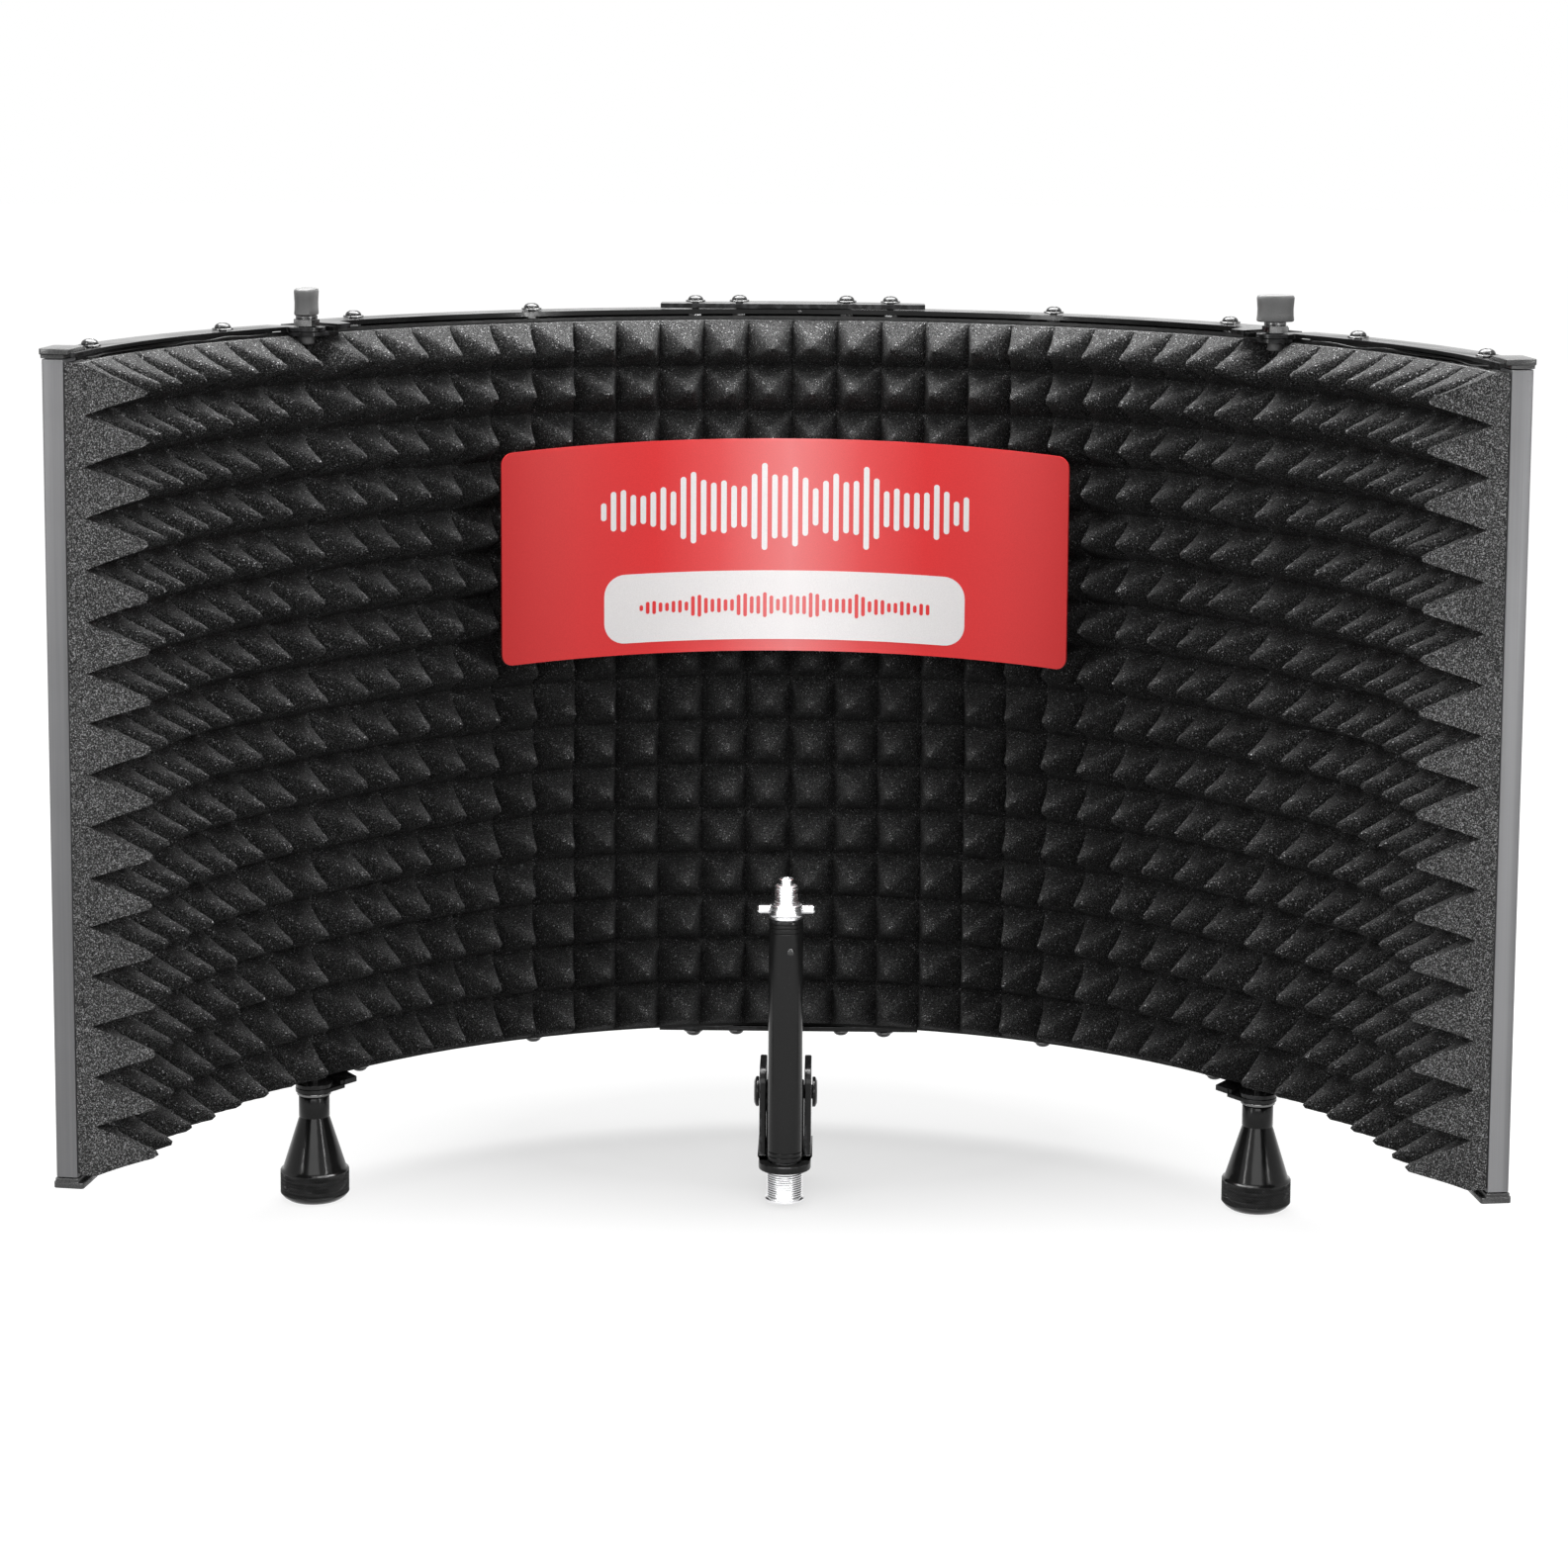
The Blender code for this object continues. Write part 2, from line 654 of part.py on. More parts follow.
def hinge_nut():
    """A hexagon nut with a round collar on it."""
    rings = [hexagon(HINGE_NUT_R, NUT_Z), hexagon(HINGE_NUT_R, COLLAR_Z)]
    profile = [(COLLAR_R, COLLAR_Z), (COLLAR_R, COLLAR_Z + COLLAR_HEIGHT)]
    profile += [(STUD_HOLE_R, COLLAR_Z + COLLAR_HEIGHT), (STUD_HOLE_R, NUT_Z)]
    return closed_loop(rings + [circle(radius, z, 12) for radius, z in profile])


def foot_washer():
    top = WASHER_Z + FOOT_WASHER
    outside = [(FOOT_WASHER_R, WASHER_Z), (FOOT_WASHER_R, top)]
    return tube_body(outside, [(STUD_HOLE_R, top), (STUD_HOLE_R, WASHER_Z)])


def foot():
    """A turned foot and the stud fixed in it."""
    neck = WASHER_Z - GAP
    return turned_body([*FOOT_PROFILE, (FOOT_WASHER_R, neck), (STUD_R, neck), (STUD_R, FOOT_STUD_END)])


for name, side in SIDES.items():
    on_hinge = (side * HINGE[0], ARC_Y + HINGE[1])
    axis = axis_empty(name + "_knob_axis", *on_hinge)
    new_object(name + "_hinge_knob", hinge_knob(KNOB_TURN[name]), KNOB_PLASTIC, axis, smooth_angle=40)
    new_object(name + "_hinge_nut", moved(hinge_nut(), at(*on_hinge)), SCREW_METAL, smooth_angle=20)
    new_object(name + "_foot_washer", moved(foot_washer(), at(*on_hinge)), SCREW_METAL, smooth_angle=35)
    axis = axis_empty(name + "_foot_axis", *on_hinge)
    new_object(name + "_foot", foot(), BLACK_METAL, axis, smooth_angle=30)


# End posts and caps


def end_cap():
    """A slab over the post's end on a smaller ring, built from the foam's edge upwards."""
    ring = rounded(end_rectangle(POST_IN_R - 0.4, POST_OUT_R + 0.4, POST_DEEP + 0.6, 0.4), POST_CORNER)
    ring_low = POST_PROUD + GAP
    slab_low = ring_low + CAP_RING
    steps = [(ring, ring_low), (ring, slab_low)]
    steps += [(CAP_OUTLINE, slab_low), (CAP_OUTLINE, slab_low + CAP_THICK)]
    return loft([[(x, y, z) for x, y in outline] for outline, z in steps])


for name, side in SIDES.items():
    empty = WING_EMPTY[name]
    post = rounded(end_rectangle(POST_IN_R, POST_OUT_R, POST_DEEP, 0.0), POST_CORNER)
    post = moved(prism(post, FOAM_BOTTOM - POST_PROUD, FOAM_TOP + POST_PROUD), wing_to_hinge(side))
    new_object(name + "_end_post", post, POST_METAL, empty, smooth_angle=40)
    for which, level in LEVELS.items():
        cap = moved(end_cap(), wing_to_hinge(side) @ level.place())
        new_object(f"{name}_{which}_end_cap", cap, BLACK_PLASTIC, empty, smooth_angle=40)


# Centre bracket: a plate over each rail, the strap between them behind the panel, and the arm to the pivot


def bracket_plate(level):
    edge = math.degrees(math.asin(BRACKET_HALF / RAIL_OUT_R))
    strap = math.degrees(math.asin(STRAP_HALF / RAIL_OUT_R))
    outline = [(-BRACKET_HALF, level.bracket_front), (BRACKET_HALF, level.bracket_front)]
    outline += arc_points(RAIL_OUT_R, edge, strap)
    outline += [(STRAP_HALF, BACK_Y), (-STRAP_HALF, BACK_Y)]
    outline += arc_points(RAIL_OUT_R, -strap, -edge)
    return prism(outline, *level.bracket)


def arm_body():
    """A flat bar on edge, from the bottom plate forwards to a round end on the pivot."""
    level = LEVELS["bottom"]
    plate_low, plate_high = level.z(level.bracket[1]), level.z(level.bracket[0])
    inside = (plate_low + plate_high) / 2
    radius = ARM_HIGH / 2
    outline = [(BACK_Y - 6, inside), (BACK_Y - 6, plate_low - 5), (BACK_Y - 24, PIVOT_Z - radius - 3)]
    for step in range(9):
        angle = math.radians(-90 - 22.5 * step)
        outline.append((PIVOT_Y + radius * math.cos(angle), PIVOT_Z + radius * math.sin(angle)))
    outline += [(level.bracket_front - 28, PIVOT_Z + radius), (level.bracket_front - 2, inside)]
    return loft([[(x, y, z) for y, z in outline] for x in ARM_X])


TOP, BOTTOM = LEVELS["top"], LEVELS["bottom"]
bracket = new_object("mount_bracket", moved(bracket_plate(TOP), TO_FRAME @ TOP.place()), BLACK_METAL)
bottom_plate = moved(bracket_plate(BOTTOM), TO_FRAME @ BOTTOM.place())
combine(bracket, helper("bracket_bottom_plate", bottom_plate), "UNION")
strap_low, strap_high = [level.z(sum(level.bracket) / 2) for level in (BOTTOM, TOP)]
strap = box((-STRAP_HALF + 0.1, STRAP_IN, strap_low), (STRAP_HALF - 0.1, BACK_Y - 0.1, strap_high))
combine(bracket, helper("bracket_strap", moved(strap, TO_FRAME)), "UNION")
combine(bracket, helper("bracket_arm", moved(arm_body(), TO_FRAME)), "UNION")
holes = joined_cylinders(BRACKET_PLACES, SCREW_HOLE_R, BOTTOM.z(8.0), TOP.z(10.0))
combine(bracket, helper("bracket_screw_holes", moved(holes, TO_FRAME)), "DIFFERENCE")
ALONG_X = Matrix.Rotation(math.radians(90), 4, "Y")
PIVOT = at(0.0, ARC_Y + PIVOT_Y, PIVOT_Z) @ ALONG_X
arm_hole = turned_body([(STUD_HOLE_R, -20.0), (STUD_HOLE_R, 20.0)], 16)
combine(bracket, helper("arm_pivot_hole", moved(arm_hole, PIVOT)), "DIFFERENCE")


# Mic mount: yoke, pivot bolt, tube, adapter, lock ring and stand insert, about the pivot's axis

YOKE_AXIS = axis_empty("yoke_axis", 0.0, ARC_Y + PIVOT_Y, PIVOT_Z)
TO_YOKE = at(0.0, -PIVOT_Y, -PIVOT_Z)
MOUNT = TO_YOKE @ at(0.0, MOUNT_Y)


def yoke_base():
    """The plate under the tube: round in front, square behind."""
    outer = EAR_X[1]
    count = 12
    angles = [math.pi + math.pi * i / count for i in range(count + 1)]
    outline = [(outer * math.cos(a), MOUNT_Y + outer * math.sin(a)) for a in angles]
    outline += [(outer, EAR_REAR), (-outer, EAR_REAR)]
    return prism(outline, *YOKE_BASE_Z)


def yoke_ear(side):
    """An upright plate at the yoke's side, with its top corners rounded, round the pivot."""
    low = YOKE_BASE_Z[0] + 0.8
    outline = [(EAR_FRONT, low), (EAR_REAR - 0.1, low)]
    for corner, start in ((EAR_REAR - EAR_CORNER, 0), (EAR_FRONT + EAR_CORNER, 90)):
        for step in range(5):
            angle = math.radians(start + 22.5 * step)
            offset = (EAR_CORNER * math.cos(angle), EAR_CORNER * math.sin(angle))
            outline.append((corner + offset[0], EAR_TOP - EAR_CORNER + offset[1]))
    return loft([[(side * x, y, z) for y, z in outline] for x in (EAR_X[0], EAR_X[1] - 0.1)])


yoke = new_object("mount_yoke", moved(yoke_base(), TO_YOKE), BLACK_METAL, YOKE_AXIS)
for name, side in SIDES.items():
    combine(yoke, helper("yoke_ear_" + name, moved(yoke_ear(side), TO_YOKE), YOKE_AXIS), "UNION")
pin_hole = turned_body([(STUD_HOLE_R, -20.0), (STUD_HOLE_R, 20.0)], 16)
combine(yoke, helper("yoke_pivot_hole", moved(pin_hole, ALONG_X), YOKE_AXIS), "DIFFERENCE")
base_hole = turned_body([(TUBE_BORE_R, YOKE_BASE_Z[0] - 3), (TUBE_BORE_R, YOKE_BASE_Z[1] + 3)])
combine(yoke, helper("yoke_base_hole", moved(base_hole, MOUNT), YOKE_AXIS), "DIFFERENCE")

head_start = EAR_X[1] + GAP
head_end = head_start + BOLT_HEAD_THICK
bolt = turned_body(
    [
        (4.6, -head_end),
        (BOLT_HEAD_R, -head_end + 0.8),
        (BOLT_HEAD_R, -head_start),
        (BOLT_R, -head_start),
        (BOLT_R, head_end - 0.4),
    ]
)
new_object("pivot_bolt", moved(bolt, ALONG_X), BLACK_METAL, YOKE_AXIS, smooth_angle=35)
nut = tube_body(
    [(BOLT_HEAD_R, head_start), (BOLT_HEAD_R, head_end - 0.8), (4.6, head_end)],
    [(STUD_HOLE_R, head_end), (STUD_HOLE_R, head_start)],
)
new_object("pivot_nut", moved(nut, ALONG_X), BLACK_METAL, YOKE_AXIS, smooth_angle=35)


def plain_tube(outer, bore, low, high, count=24):
    return tube_body([(outer, low), (outer, high)], [(bore, high), (bore, low)], count)


spacer = plain_tube(SPACER_R, STUD_HOLE_R, ARM_X[1] + GAP, EAR_X[0] - GAP)
new_object("pivot_spacer", moved(spacer, ALONG_X), BLACK_METAL, YOKE_AXIS, smooth_angle=35)

tube = plain_tube(TUBE_R, TUBE_BORE_R, *TUBE_Z, 32)
new_object("mic_post_tube", moved(tube, MOUNT), BLACK_METAL, YOKE_AXIS, smooth_angle=35)

collar_low = TUBE_Z[1] + GAP
adapter = turned_body(
    [
        (SPIGOT_R, TUBE_Z[1] - 12.0),
        (SPIGOT_R, collar_low),
        (TUBE_R - 0.2, collar_low),
        (TUBE_R - 0.2, RING_Z[0] - GAP),
        (THREAD_R, RING_Z[0] - GAP),
        (THREAD_R, ADAPTER_TOP - 3.6),
        (3.9, ADAPTER_TOP - 2.9),
        (3.1, ADAPTER_TOP - 2.6),
        (3.1, ADAPTER_TOP),
    ]
)
new_object("thread_adapter", moved(adapter, MOUNT), CHROME, YOKE_AXIS, smooth_angle=35)

insert_top = YOKE_BASE_Z[0] - GAP
insert = tube_body(
    [
        (INSERT_FLANGE_R, INSERT_Z),
        (INSERT_FLANGE_R, INSERT_Z + 1.5),
        (INSERT_R, INSERT_Z + 1.5),
        (INSERT_R, insert_top),
        (SPIGOT_R, insert_top),
        (SPIGOT_R, TUBE_Z[0] + 10.0),
    ],
    [(3.6, TUBE_Z[0] + 10.0), (3.6, INSERT_Z + 11.0), (THREAD_R, INSERT_Z + 11.0), (THREAD_R, INSERT_Z)],
)
new_object("stand_insert", moved(insert, MOUNT), CHROME, YOKE_AXIS, smooth_angle=35)

RING_AXIS = axis_empty("lock_ring_axis", 0.0, ARC_Y + MOUNT_Y)
ring = turned_body([(RING_R, RING_Z[0]), (RING_R, RING_Z[0] + 1.2), (6.3, RING_Z[1])])
ring = new_object("lock_ring", ring, CHROME, RING_AXIS, smooth_angle=35)
finger = box((-RING_WING, -2.4, RING_Z[0] + 0.5), (RING_WING, 2.4, RING_Z[1] - 0.5))
bmesh.ops.bevel(finger, geom=finger.edges[:], offset=0.9, segments=1, affect="EDGES")
combine(ring, helper("lock_ring_fingers", finger, RING_AXIS), "UNION")
ring_bore = turned_body([(THREAD_R + GAP, RING_Z[0] - 2), (THREAD_R + GAP, RING_Z[1] + 2)])
combine(ring, helper("lock_ring_bore", ring_bore, RING_AXIS), "DIFFERENCE")


# Display card

card = arc_block(CARD_R, CARD_R + CARD_THICK, CARD_Z[0], CARD_Z[1], -CARD_HALF_ANGLE, CARD_HALF_ANGLE)
new_object("display_card", moved(card, TO_FRAME), CARD)
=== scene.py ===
"""Looks for the microphone isolation shield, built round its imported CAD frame.

Lengths are in metres and angles in degrees. In plan, an arc angle of 0 points to the back (+Y) from the
shield's arc centre and grows towards the free end of a wing; side is -1 for the left wing, 1 for the right
one and 0 for the centre panel."""

import json
import math
import random

import bmesh
import bpy
import numpy as np
from mathutils import Euler, Matrix, Vector


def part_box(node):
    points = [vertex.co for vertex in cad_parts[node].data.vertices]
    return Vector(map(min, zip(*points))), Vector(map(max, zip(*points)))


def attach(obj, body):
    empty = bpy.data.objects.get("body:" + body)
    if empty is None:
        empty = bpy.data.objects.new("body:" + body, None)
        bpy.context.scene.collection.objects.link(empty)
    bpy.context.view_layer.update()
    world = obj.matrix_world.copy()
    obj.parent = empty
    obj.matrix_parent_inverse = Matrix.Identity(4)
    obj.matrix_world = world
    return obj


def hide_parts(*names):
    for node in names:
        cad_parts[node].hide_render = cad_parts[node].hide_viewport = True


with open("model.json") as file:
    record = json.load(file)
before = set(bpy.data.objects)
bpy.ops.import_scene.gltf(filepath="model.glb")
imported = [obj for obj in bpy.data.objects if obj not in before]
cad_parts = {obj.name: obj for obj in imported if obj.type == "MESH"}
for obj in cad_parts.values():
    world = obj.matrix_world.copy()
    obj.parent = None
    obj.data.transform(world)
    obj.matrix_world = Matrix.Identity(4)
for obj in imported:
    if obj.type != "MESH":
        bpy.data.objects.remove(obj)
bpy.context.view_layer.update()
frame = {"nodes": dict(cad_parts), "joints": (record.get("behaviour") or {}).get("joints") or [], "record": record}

MM = 0.001
SIDES = {"left": -1, "right": 1}
JOINTS = {joint["name"]: joint for joint in frame["joints"]}

# The shield in plan
SHEET_OUT = 249.8 * MM
SHEET_THICK = 0.8 * MM
WING_OPENING = math.radians(6)
ARC_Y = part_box("centre_back_panel")[1].y - SHEET_OUT
HINGE = (JOINTS["right_wing_fold"]["pos_m"][0], JOINTS["right_wing_fold"]["pos_m"][1] - ARC_Y)

# Foam
PITCH = 19.05 * MM
ROWS = 16
CENTRE_COLUMNS = 24
WING_COLUMNS = 7.5
FOAM_BACK = 248.7 * MM
FOAM_BASE = 242.0 * MM
FOAM_TIP = 216.7 * MM
CELL_STEPS = 12
FOAM_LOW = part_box("centre_foam")[0].z
FOAM_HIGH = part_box("centre_foam")[1].z


def plan(side, radius, angle):
    """World x and y of places on the centre panel or on a wing, which may be arrays."""
    x = radius * np.sin(np.radians(angle))
    y = radius * np.cos(np.radians(angle))
    if side:
        c, s = math.cos(WING_OPENING), math.sin(WING_OPENING)
        dx, dy = x - HINGE[0], y - HINGE[1]
        x = side * (HINGE[0] + c * dx - s * dy)
        y = HINGE[1] + s * dx + c * dy
    return x, y + ARC_Y


# Materials


class Nodes:
    """A material's node tree, with the few calls that the finishes below share."""

    def __init__(self, name):
        self.material = bpy.data.materials.new(name)
        self.material.use_nodes = True
        self.tree = self.material.node_tree
        self.shader = self.tree.nodes["Principled BSDF"]
        self.place = self.tree.nodes.new("ShaderNodeTexCoord").outputs["Object"]

    def set(self, **values):
        for name, value in values.items():
            self.shader.inputs[name.replace("_", " ")].default_value = value

    def link(self, source, target):
        self.tree.links.new(source, target)

    def stretched(self, scale, shift=(0.0, 0.0, 0.0)):
        node = self.tree.nodes.new("ShaderNodeMapping")
        node.inputs["Scale"].default_value = scale
        node.inputs["Location"].default_value = shift
        self.link(self.place, node.inputs["Vector"])
        return node.outputs["Vector"]

    def noise(self, scale, detail=3.0, rough=0.6, vector=None):
        node = self.tree.nodes.new("ShaderNodeTexNoise")
        node.inputs["Scale"].default_value = scale
        node.inputs["Detail"].default_value = detail
        node.inputs["Roughness"].default_value = rough
        self.link(vector or self.place, node.inputs["Vector"])
        return node.outputs["Fac"]

    def cells(self, scale, output="Distance", feature="F1"):
        node = self.tree.nodes.new("ShaderNodeTexVoronoi")
        node.feature = feature
        node.inputs["Scale"].default_value = scale
        self.link(self.place, node.inputs["Vector"])
        return node.outputs[output]

    def ramp(self, source, *stops):
        """A colour ramp from (place, colour) stops; a colour may be one grey number."""
        node = self.tree.nodes.new("ShaderNodeValToRGB")
        elements = node.color_ramp.elements
        while len(elements) < len(stops):
            elements.new(0.5)
        for element, (place, colour) in zip(elements, stops):
            element.position = place
            if not isinstance(colour, tuple):
                colour = (colour, colour, colour)
            element.color = (*colour, 1.0)
        self.link(source, node.inputs["Fac"])
        return node.outputs["Color"]

    def mix(self, factor, a, b, how="MIX"):
        node = self.tree.nodes.new("ShaderNodeMix")
        node.data_type = "RGBA"
        node.blend_type = how
        for socket, value in ((node.inputs[0], factor), (node.inputs[6], a), (node.inputs[7], b)):
            if isinstance(value, (int, float, tuple)):
                socket.default_value = value
            else:
                self.link(value, socket)
        return node.outputs[2]

    def math(self, how, a, b=0.0, clamp=False):
        node = self.tree.nodes.new("ShaderNodeMath")
        node.operation = how
        node.use_clamp = clamp
        for socket, value in zip(node.inputs, (a, b)):
            if isinstance(value, (int, float)):
                socket.default_value = value
            else:
                self.link(value, socket)
        return node.outputs[0]

    def first_channel(self, colour):
        node = self.tree.nodes.new("ShaderNodeSeparateColor")
        self.link(colour, node.inputs[0])
        return node.outputs[0]

    def colour(self, source):
        self.link(source, self.shader.inputs["Base Color"])

    def roughness(self, source):
        self.link(source, self.shader.inputs["Roughness"])

    def bump(self, *layers):
        """Bumps from (height, strength, distance) layers, the last on top."""
        normal = None
        for height, strength, distance in layers:
            node = self.tree.nodes.new("ShaderNodeBump")
            node.inputs["Strength"].default_value = strength
            node.inputs["Distance"].default_value = distance
            self.link(height, node.inputs["Height"])
            if normal is not None:
                self.link(normal, node.inputs["Normal"])
            normal = node.outputs["Normal"]
        self.link(normal, self.shader.inputs["Normal"])

    def edges(self, low=0.5, high=0.56):
        """Near 1 on the outer edges of a bevelled piece."""
        node = self.tree.nodes.new("ShaderNodeNewGeometry")
        return self.ramp(node.outputs["Pointiness"], (low, 0.0), (high, 1.0))


def foam_finish(name="foam_charcoal", gain=1.0, glints=0.982):
    """Open-cell charcoal foam: a fine grain of pores, with scattered glints off cut cell walls painted into the
    colour as light grey specks.
    """
    n = Nodes(name)
    n.set(Metallic=0.0, Sheen_Weight=0.03, Sheen_Roughness=0.5)
    n.set(Sheen_Tint=(1.0, 1.0, 1.0, 1.0), Specular_IOR_Level=0.04)
    pores = n.cells(1150.0)
    fine = n.noise(1900.0, 2.0, 0.7)
    patches = n.noise(45.0, 3.0)
    grain = n.ramp(fine, (0.38, 0.006 * gain), (0.52, 0.019 * gain), (0.66, 0.11 * gain))
    shade = n.ramp(patches, (0.3, 0.8), (0.7, 1.15))
    base = n.mix(1.0, grain, shade, "MULTIPLY")
    # Painted glints: a few random cells get a light grey colour, standing in for light caught by shiny cell walls.
    lit = n.first_channel(n.cells(2500.0, "Color"))
    painted_glint = n.math("GREATER_THAN", lit, glints)
    base = n.mix(n.math("MULTIPLY", painted_glint, 0.6), base, (0.5, 0.5, 0.51, 1.0))
    n.colour(base)
    n.roughness(n.ramp(fine, (0.3, 0.95), (0.7, 0.62)))
    n.bump((pores, 0.55, 0.0006), (fine, 0.9, 0.0009))
    return n.material


def gloss_black_finish(name="gloss_black", base=0.006, rough=(0.1, 0.24)):
    """Gloss black paint on steel, with a faint orange peel, haze and edges worn a little."""
    n = Nodes(name)
    n.set(Metallic=0.0, Specular_IOR_Level=0.2)
    peel = n.noise(420.0, 2.0)
    haze = n.noise(60.0, 4.0)
    dust = n.noise(1600.0, 3.0, 0.75)
    worn = n.math("MULTIPLY", n.edges(0.53, 0.6), n.ramp(n.noise(300.0, 4.0), (0.45, 0.0), (0.62, 0.5)))
    tint = n.ramp(dust, (0.6, base), (0.78, base * 3.2))
    n.colour(n.mix(worn, tint, (0.09, 0.09, 0.095, 1.0)))
    n.roughness(n.ramp(haze, (0.3, rough[0]), (0.7, rough[1])))
    n.bump((peel, 0.12, 0.0003), (haze, 0.1, 0.0008))
    return n.material


def back_sheet_finish():
    """Satin black powder coat on perforated sheet."""
    n = Nodes("satin_black_sheet")
    n.set(Metallic=0.0, Specular_IOR_Level=0.5)
    grain = n.noise(1300.0, 3.0, 0.7)
    worn = n.math("MULTIPLY", n.edges(0.54, 0.62), n.ramp(n.noise(200.0, 3.0), (0.5, 0.0), (0.65, 0.4)))
    n.colour(n.mix(worn, n.ramp(grain, (0.35, 0.012), (0.7, 0.03)), (0.1, 0.1, 0.1, 1.0)))
    n.roughness(n.ramp(n.noise(40.0), (0.3, 0.36), (0.7, 0.52)))
    n.bump((grain, 0.35, 0.0002))
    return n.material


def post_finish():
    """Grey satin metal, drawn lengthwise."""
    n = Nodes("post_grey_satin")
    n.set(Metallic=0.25, Specular_IOR_Level=0.4)
    streaks = n.noise(1.0, 3.0, 0.65, n.stretched((1600.0, 1600.0, 7.0)))
    cloud = n.noise(28.0, 3.0)
    shade = n.ramp(streaks, (0.3, (0.066, 0.066, 0.068)), (0.7, (0.1, 0.1, 0.103)))
    tone = n.ramp(cloud, (0.3, 0.86), (0.7, 1.08))
    wear = n.math("MULTIPLY", n.edges(0.52, 0.58), 0.45)
    n.colour(n.mix(wear, n.mix(1.0, shade, tone, "MULTIPLY"), (0.42, 0.42, 0.43, 1.0)))
    n.roughness(n.ramp(streaks, (0.3, 0.34), (0.7, 0.5)))
    n.bump((streaks, 0.12, 0.0002))
    return n.material


def plastic_finish(name, dark, light, rough, grain_strength):
    """Moulded plastic with a fine spark-eroded texture."""
    n = Nodes(name)
    n.set(Metallic=0.0, Specular_IOR_Level=0.5)
    grain = n.noise(1900.0, 2.0, 0.6)
    cloud = n.noise(90.0, 3.0)
    wear = n.math("MULTIPLY", n.edges(0.53, 0.6), 0.3)
    n.colour(n.mix(wear, n.ramp(cloud, (0.3, dark), (0.7, light)), (0.2, 0.2, 0.2, 1.0)))
    n.roughness(n.ramp(grain, (0.3, rough - 0.08), (0.7, rough + 0.08)))
    n.bump((grain, grain_strength, 0.00025))
    return n.material


def chrome_finish():
    """Bright plating, with polishing haze and a few fine scratches round it."""
    n = Nodes("bright_chrome")
    n.set(Metallic=1.0)
    scratches = n.noise(1.0, 3.0, 0.7, n.stretched((60.0, 60.0, 5200.0)))
    haze = n.noise(140.0, 3.0)
    n.colour(n.ramp(haze, (0.3, (0.9, 0.9, 0.91)), (0.7, (0.96, 0.96, 0.97))))
    n.roughness(n.ramp(scratches, (0.35, 0.2), (0.75, 0.34)))
    n.bump((scratches, 0.05, 0.0002))
    return n.material


def screw_finish():
    """Black zinc: dark, bright where it is rubbed."""
    n = Nodes("black_zinc")
    n.set(Metallic=1.0)
    mottle = n.noise(700.0, 3.0)
    worn = n.math("MULTIPLY", n.edges(0.52, 0.58), 0.7)
    n.colour(n.mix(worn, n.ramp(mottle, (0.35, 0.02), (0.7, 0.05)), (0.3, 0.3, 0.3, 1.0)))
    n.roughness(n.ramp(mottle, (0.3, 0.16), (0.7, 0.32)))
    n.bump((mottle, 0.08, 0.0002))
    return n.material


def print_finish(name, dark, light):
    """Ink on laminated card: fine mottle under a smooth gloss film with faint ripples. Its colour holds painted
    shade, darker towards the card's sides, and a painted highlight that whitens its middle.
    """
    n = Nodes(name)
    n.set(Metallic=0.0, Specular_IOR_Level=0.2, Coat_Weight=0.05, Coat_Roughness=0.35)
    mottle = n.noise(2600.0, 2.0, 0.6)
    across = n.tree.nodes.new("ShaderNodeSeparateXYZ")
    n.link(n.place, across.inputs[0])
    reach = n.math("MULTIPLY", n.math("ABSOLUTE", across.outputs["X"]), 8.0)
    # Painted shade: the ink is darkened with distance from the card's middle, standing in for the sides curving
    # away from the light.
    tone = n.ramp(reach, (0.0, 0.96), (0.35, 0.84), (0.7, 0.75), (0.96, 0.58))
    ink_and_painted_shade = n.mix(1.0, n.ramp(mottle, (0.3, dark), (0.7, light)), tone, "MULTIPLY")
    # Painted highlight: the card's middle is mixed towards white, standing in for the gloss reflection there.
    painted_highlight = n.ramp(reach, (0.0, 0.2), (0.24, 0.05), (0.45, 0.0))
    n.colour(n.mix(painted_highlight, ink_and_painted_shade, (0.95, 0.9, 0.9, 1.0)))
    n.roughness(n.ramp(mottle, (0.3, 0.3), (0.7, 0.4)))
    n.bump((n.noise(22.0, 2.0), 0.06, 0.002))
    return n.material


def floor_finish():
    """A white sweep that glows fully further off and less near the shield, so that the lower glow paints the soft
    grey shade under it; the lamps' own shadows fall on top.
    """
    n = Nodes("pale_floor")
    n.set(Metallic=0.0, Specular_IOR_Level=0.0, Emission_Color=(1.0, 1.0, 1.0, 1.0))
    n.colour(n.ramp(n.noise(3.0), (0.3, 0.07), (0.7, 0.072)))
    n.roughness(n.ramp(n.noise(8.0), (0.3, 0.8), (0.7, 0.9)))
    away = n.tree.nodes.new("ShaderNodeVectorMath")
    away.operation = "LENGTH"
    n.link(n.stretched((2.5, 4.2, 1.0), (0.0, -0.42, 0.0)), away.inputs[0])
    # Painted shadow: the glow drops from 1.0 far off to 0.66 near the shield, painting the grey shade under it.
    painted_shade_glow = n.ramp(n.math("MULTIPLY", away.outputs["Value"], 0.5), (0.15, 0.66), (0.33, 0.86), (0.46, 1.0))
    n.link(painted_shade_glow, n.shader.inputs["Emission Strength"])
    return n.material


def backdrop_finish():
    n = Nodes("white_backdrop")
    n.set(Base_Color=(0.0, 0.0, 0.0, 1.0), Specular_IOR_Level=0.0)
    n.set(Emission_Color=(1.0, 1.0, 1.0, 1.0), Emission_Strength=1.0)
    return n.material


